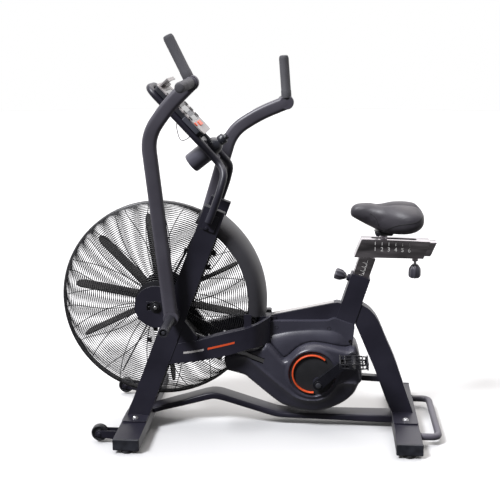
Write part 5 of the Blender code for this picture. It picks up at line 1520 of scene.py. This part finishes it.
def make_knobs():
    """Height knob on the seat tube and slider knob under the sleeve."""
    axis = Vector((-TUBE_AXIS[1], 0, TUBE_AXIS[0]))
    origin = Vector((*tube_point(*PIN_PLACE), 0)).xzy
    stem = turned([(0.005, -0.002), (0.005, 0.013), (0.009, 0.013), (0.01, 0.02)], origin, axis, 40)
    piece("pin_stem", stem, "zinc", "height_pin", bevel=0.0004, segments=2)
    grip = turned([(0.0095, 0.015), (0.0125, 0.018), (0.0165, 0.025), (0.0195, 0.031),
                   (0.0205, 0.039), (0.0205, 0.048), (0.019, 0.0525), (0.015, 0.0545),
                   (0.006, 0.0547)], origin, axis, 72, 8, 0.0026)
    piece("pin_knob", grip, "knob", "height_pin", "height_knob", bevel=0.0006, segments=2)
    below = (CLAMP_X, 0, CLAMP_TOP)
    screw = turned([(0.005, 0.0315), (0.005, 0.002), (0.0092, 0.0015), (0.0092, -0.002)], below, UP,
                   40)
    piece("clamp_stem", screw, "zinc", "clamp_screw", bevel=0.0004, segments=2)
    cap = turned([(0.0095, 0.0), (0.0135, -0.005), (0.0185, -0.012), (0.021, -0.018),
                  (0.0215, -0.03), (0.0215, -0.04), (0.0195, -0.046), (0.015, -0.0488),
                  (0.006, -0.049)], below, UP, 72, 8, 0.0028)
    piece("clamp_knob", cap, "knob", "clamp_screw", "slider_knob", bevel=0.0006, segments=2)


# ---------------------------------------------------------------- console
def console_point(u, n, y):
    """Point u down the console's face and n out of it."""
    a = math.radians(CONSOLE_SLOPE)
    ux, uz = math.cos(a), math.sin(a)
    return (CONSOLE_MID[0] + ux * u - uz * n, y, CONSOLE_MID[1] + uz * u + ux * n)


def console_slab(u0, u1, y0, y1, n0, n1, radius=0.004, taper=0.0):
    loops = []
    for n, t in ((n0, taper), (n1, 0.0)):
        outline = rounded(rectangle(u0 + t, u1 - t, y0 + t, y1 - t), radius)
        loops.append([console_point(u, n, y) for u, y in outline])
    return loft(loops)


def make_console():
    """Housing, bezel, tablet rest, keys, window and blank display cells."""
    half = 0.09
    housing = [console_slab(-0.112, 0.112, -half - 0.001, half + 0.001, -0.0205, -0.0037, 0.012,
                            0.003), console_slab(-0.1, 0.08, -0.0605, 0.0605, -0.045, -0.018, 0.008,
                                                 0.008)]
    for k in range(9):
        u = -0.07 + 0.012 * k
        housing.append(console_slab(u, u + 0.004, -0.04, 0.04, -0.0458, -0.044, 0.001))
    piece("console_back", housing, "trim_soft", "frame", "console_housing", bevel=0.0012)
    boxes = [console_slab(0.027, 0.097, *span(side, 0.0895, 0.0965), -0.0215, -0.0062, 0.003)
             for side in (-1, 1)]
    piece("console_side_pads", boxes, "side_box", "frame", "console_housing", bevel=0.0012)
    bezel = carved(console_slab(-0.114, 0.114, -half - 0.003, half + 0.003, -0.0046, 0.0, 0.016),
                   console_slab(-0.08, 0.058, -0.062, 0.062, -0.003, 0.01, 0.004))
    rest = [console_slab(-0.1065, -0.1, -0.07, 0.07, -0.001, 0.03, 0.001),
            console_slab(-0.1065, -0.094, -0.07, 0.07, 0.029, 0.033, 0.001),
            console_slab(-0.1, -0.09, -0.055, 0.055, -0.001, 0.012, 0.002)]
    piece("console_face", [bezel, *rest], "bezel", "frame", "console_bezel", bevel=0.0012)
    keys = []
    for side in (-1, 1):
        for k in range(5):
            u = -0.07 + 0.0265 * k
            keys.append(console_slab(u, u + 0.0165, *span(side, 0.07, 0.085), -0.0005, 0.0028,
                                     0.002))
            keys.append(console_slab(u + 0.004, u + 0.012, *span(side, 0.0922, 0.0936), -0.004,
                                     -0.0006, 0.001))
    keys.append(console_slab(-0.03, -0.006, -0.0615, 0.0615, -0.001, 0.0004, 0.001))
    piece("console_keys", keys, "trim", "frame", "console_bezel", bevel=0.0006, segments=2)
    start = [console_slab(0.0655, 0.0845, -0.03, 0.03, -0.0005, 0.0035, 0.004),
             console_slab(0.064, 0.078, *span(-1, 0.072, 0.0936), -0.001, 0.003, 0.003)]
    piece("console_start", start, "orange", "frame", "console_bezel", bevel=0.0008, segments=2)
    glass = console_slab(-0.0795, 0.0575, -0.0615, 0.0615, -0.0034, -0.001, 0.003)
    piece("console_window", glass, "glass", "frame", "console_screen", bevel=0.0004, segments=2)
    digits = []
    for row in (0, 2):
        for column in range(3):
            u0, y0 = -0.066 + 0.042 * row, -0.052 + 0.036 * column
            digits.append(console_slab(u0, u0 + 0.02, y0, y0 + 0.028, -0.0012, -0.0006, 0.002))
    piece("console_digits", digits, "side_box", "frame", "console_screen", bevel=0.0002, segments=1)


def make_console_loop():
    """Bent tube that carries the console, with its plates on the masts."""
    near = [(-0.1375, 0.1315, 0.762), (-0.127, 0.1315, 0.786), (-0.0975, 0.129, 0.868),
            (-0.0835, 0.108, 0.925), (-0.1, 0.08, 0.953), (-0.152, 0.075, 1.0085),
            (-0.342, 0.075, 1.208)]
    path = [(x, -y, z) for x, y, z in near] + [(x, y, z) for x, y, z in reversed(near)]
    shapes = [tube(eased(path, 0.045, 9), 0.0125, 28)]
    for side, _ in SIDES:
        plate = rounded(leg_patch(0.708, 0.765, -0.019, 0.024), 0.004)
        shapes.append(prism(plate, *span(side, LEG_OUT + 0.0003, LEG_OUT + 0.006)))
        x, z = leg_point(0.716, -0.004)
        shapes.append(hexagon((x, side * (LEG_OUT + 0.006), z), (0, side, 0), 0.0055, 0.004))
    piece("console_loop", shapes, "frame_paint", "frame", "console_support", bevel=0.0012,
          segments=3)


def cup_point(s, t, y=0.0):
    """Point s along the cup's axis and t across it."""
    a = math.radians(CUP_SLOPE)
    return (CUP_BASE[0] + math.cos(a) * s - math.sin(a) * t, y,
            CUP_BASE[1] + math.sin(a) * s + math.cos(a) * t)


def make_cup():
    """Bottle cup, its plate and the bottle."""
    base = Vector(cup_point(0, 0))
    axis = Vector(cup_point(1, 0)) - base
    wall = [(0.001, 0.0), (0.027, 0.0), (0.031, 0.001), (0.0335, 0.0035), (0.0345, 0.008),
            (0.0345, 0.08), (0.0362, 0.0835), (0.0362, 0.086), (0.0345, 0.089), (0.0345, 0.094),
            (0.0318, 0.094), (0.0315, 0.008), (0.029, 0.004), (0.001, 0.004)]
    cup = turned(wall, base, axis, 72, closed=True)
    outline = rounded(rectangle(-0.046, 0.048, -0.0617, 0.0617), 0.01, 6)
    plate = loft([[cup_point(s, t, y) for t, y in outline] for s in (0.085, 0.089)])
    plate = carved(plate, turned([(0.0335, 0.07), (0.0335, 0.1)], base, axis, 48))
    piece("cup_holder", [cup, plate], "cup", "frame", "bottle_cup", bevel=0.0008, segments=2)
    body = [(0.024, 0.0046), (0.029, 0.006), (0.0305, 0.01), (0.0305, 0.093), (0.0298, 0.0955),
            (0.0305, 0.0985), (0.03, 0.106), (0.0275, 0.115), (0.0225, 0.1235), (0.017, 0.129),
            (0.014, 0.132), (0.013, 0.1355)]
    cap = [(0.015, 0.129), (0.0182, 0.131), (0.0186, 0.134), (0.0186, 0.148), (0.0172, 0.151),
           (0.0105, 0.152), (0.0098, 0.1585), (0.0112, 0.1598), (0.0112, 0.1622), (0.005, 0.163)]
    piece("bottle_body", turned(body, base, axis, 72), "bottle", "drink_bottle", "bottle",
          smooth=50)
    piece("bottle_cap", turned(cap, base, axis, 96, 24, 0.0006), "bottle", "drink_bottle",
          bevel=0.0003, segments=2)


# ---------------------------------------------------------------- everything
def make_all():
    make_camera()
    make_cable()
    make_stage()
    make_light()
    make_base()
    make_cage()
    make_shroud()
    make_fan()
    make_rear_frame()
    make_drive()
    for side, label in SIDES:
        make_side_frame(side, label)
        make_casing(side, label)
        make_arm(side, label)
        make_peg(side, label)
    make_seat_post()
    make_slider()
    make_saddle()
    make_knobs()
    make_console()
    make_console_loop()
    make_cup()


make_all()
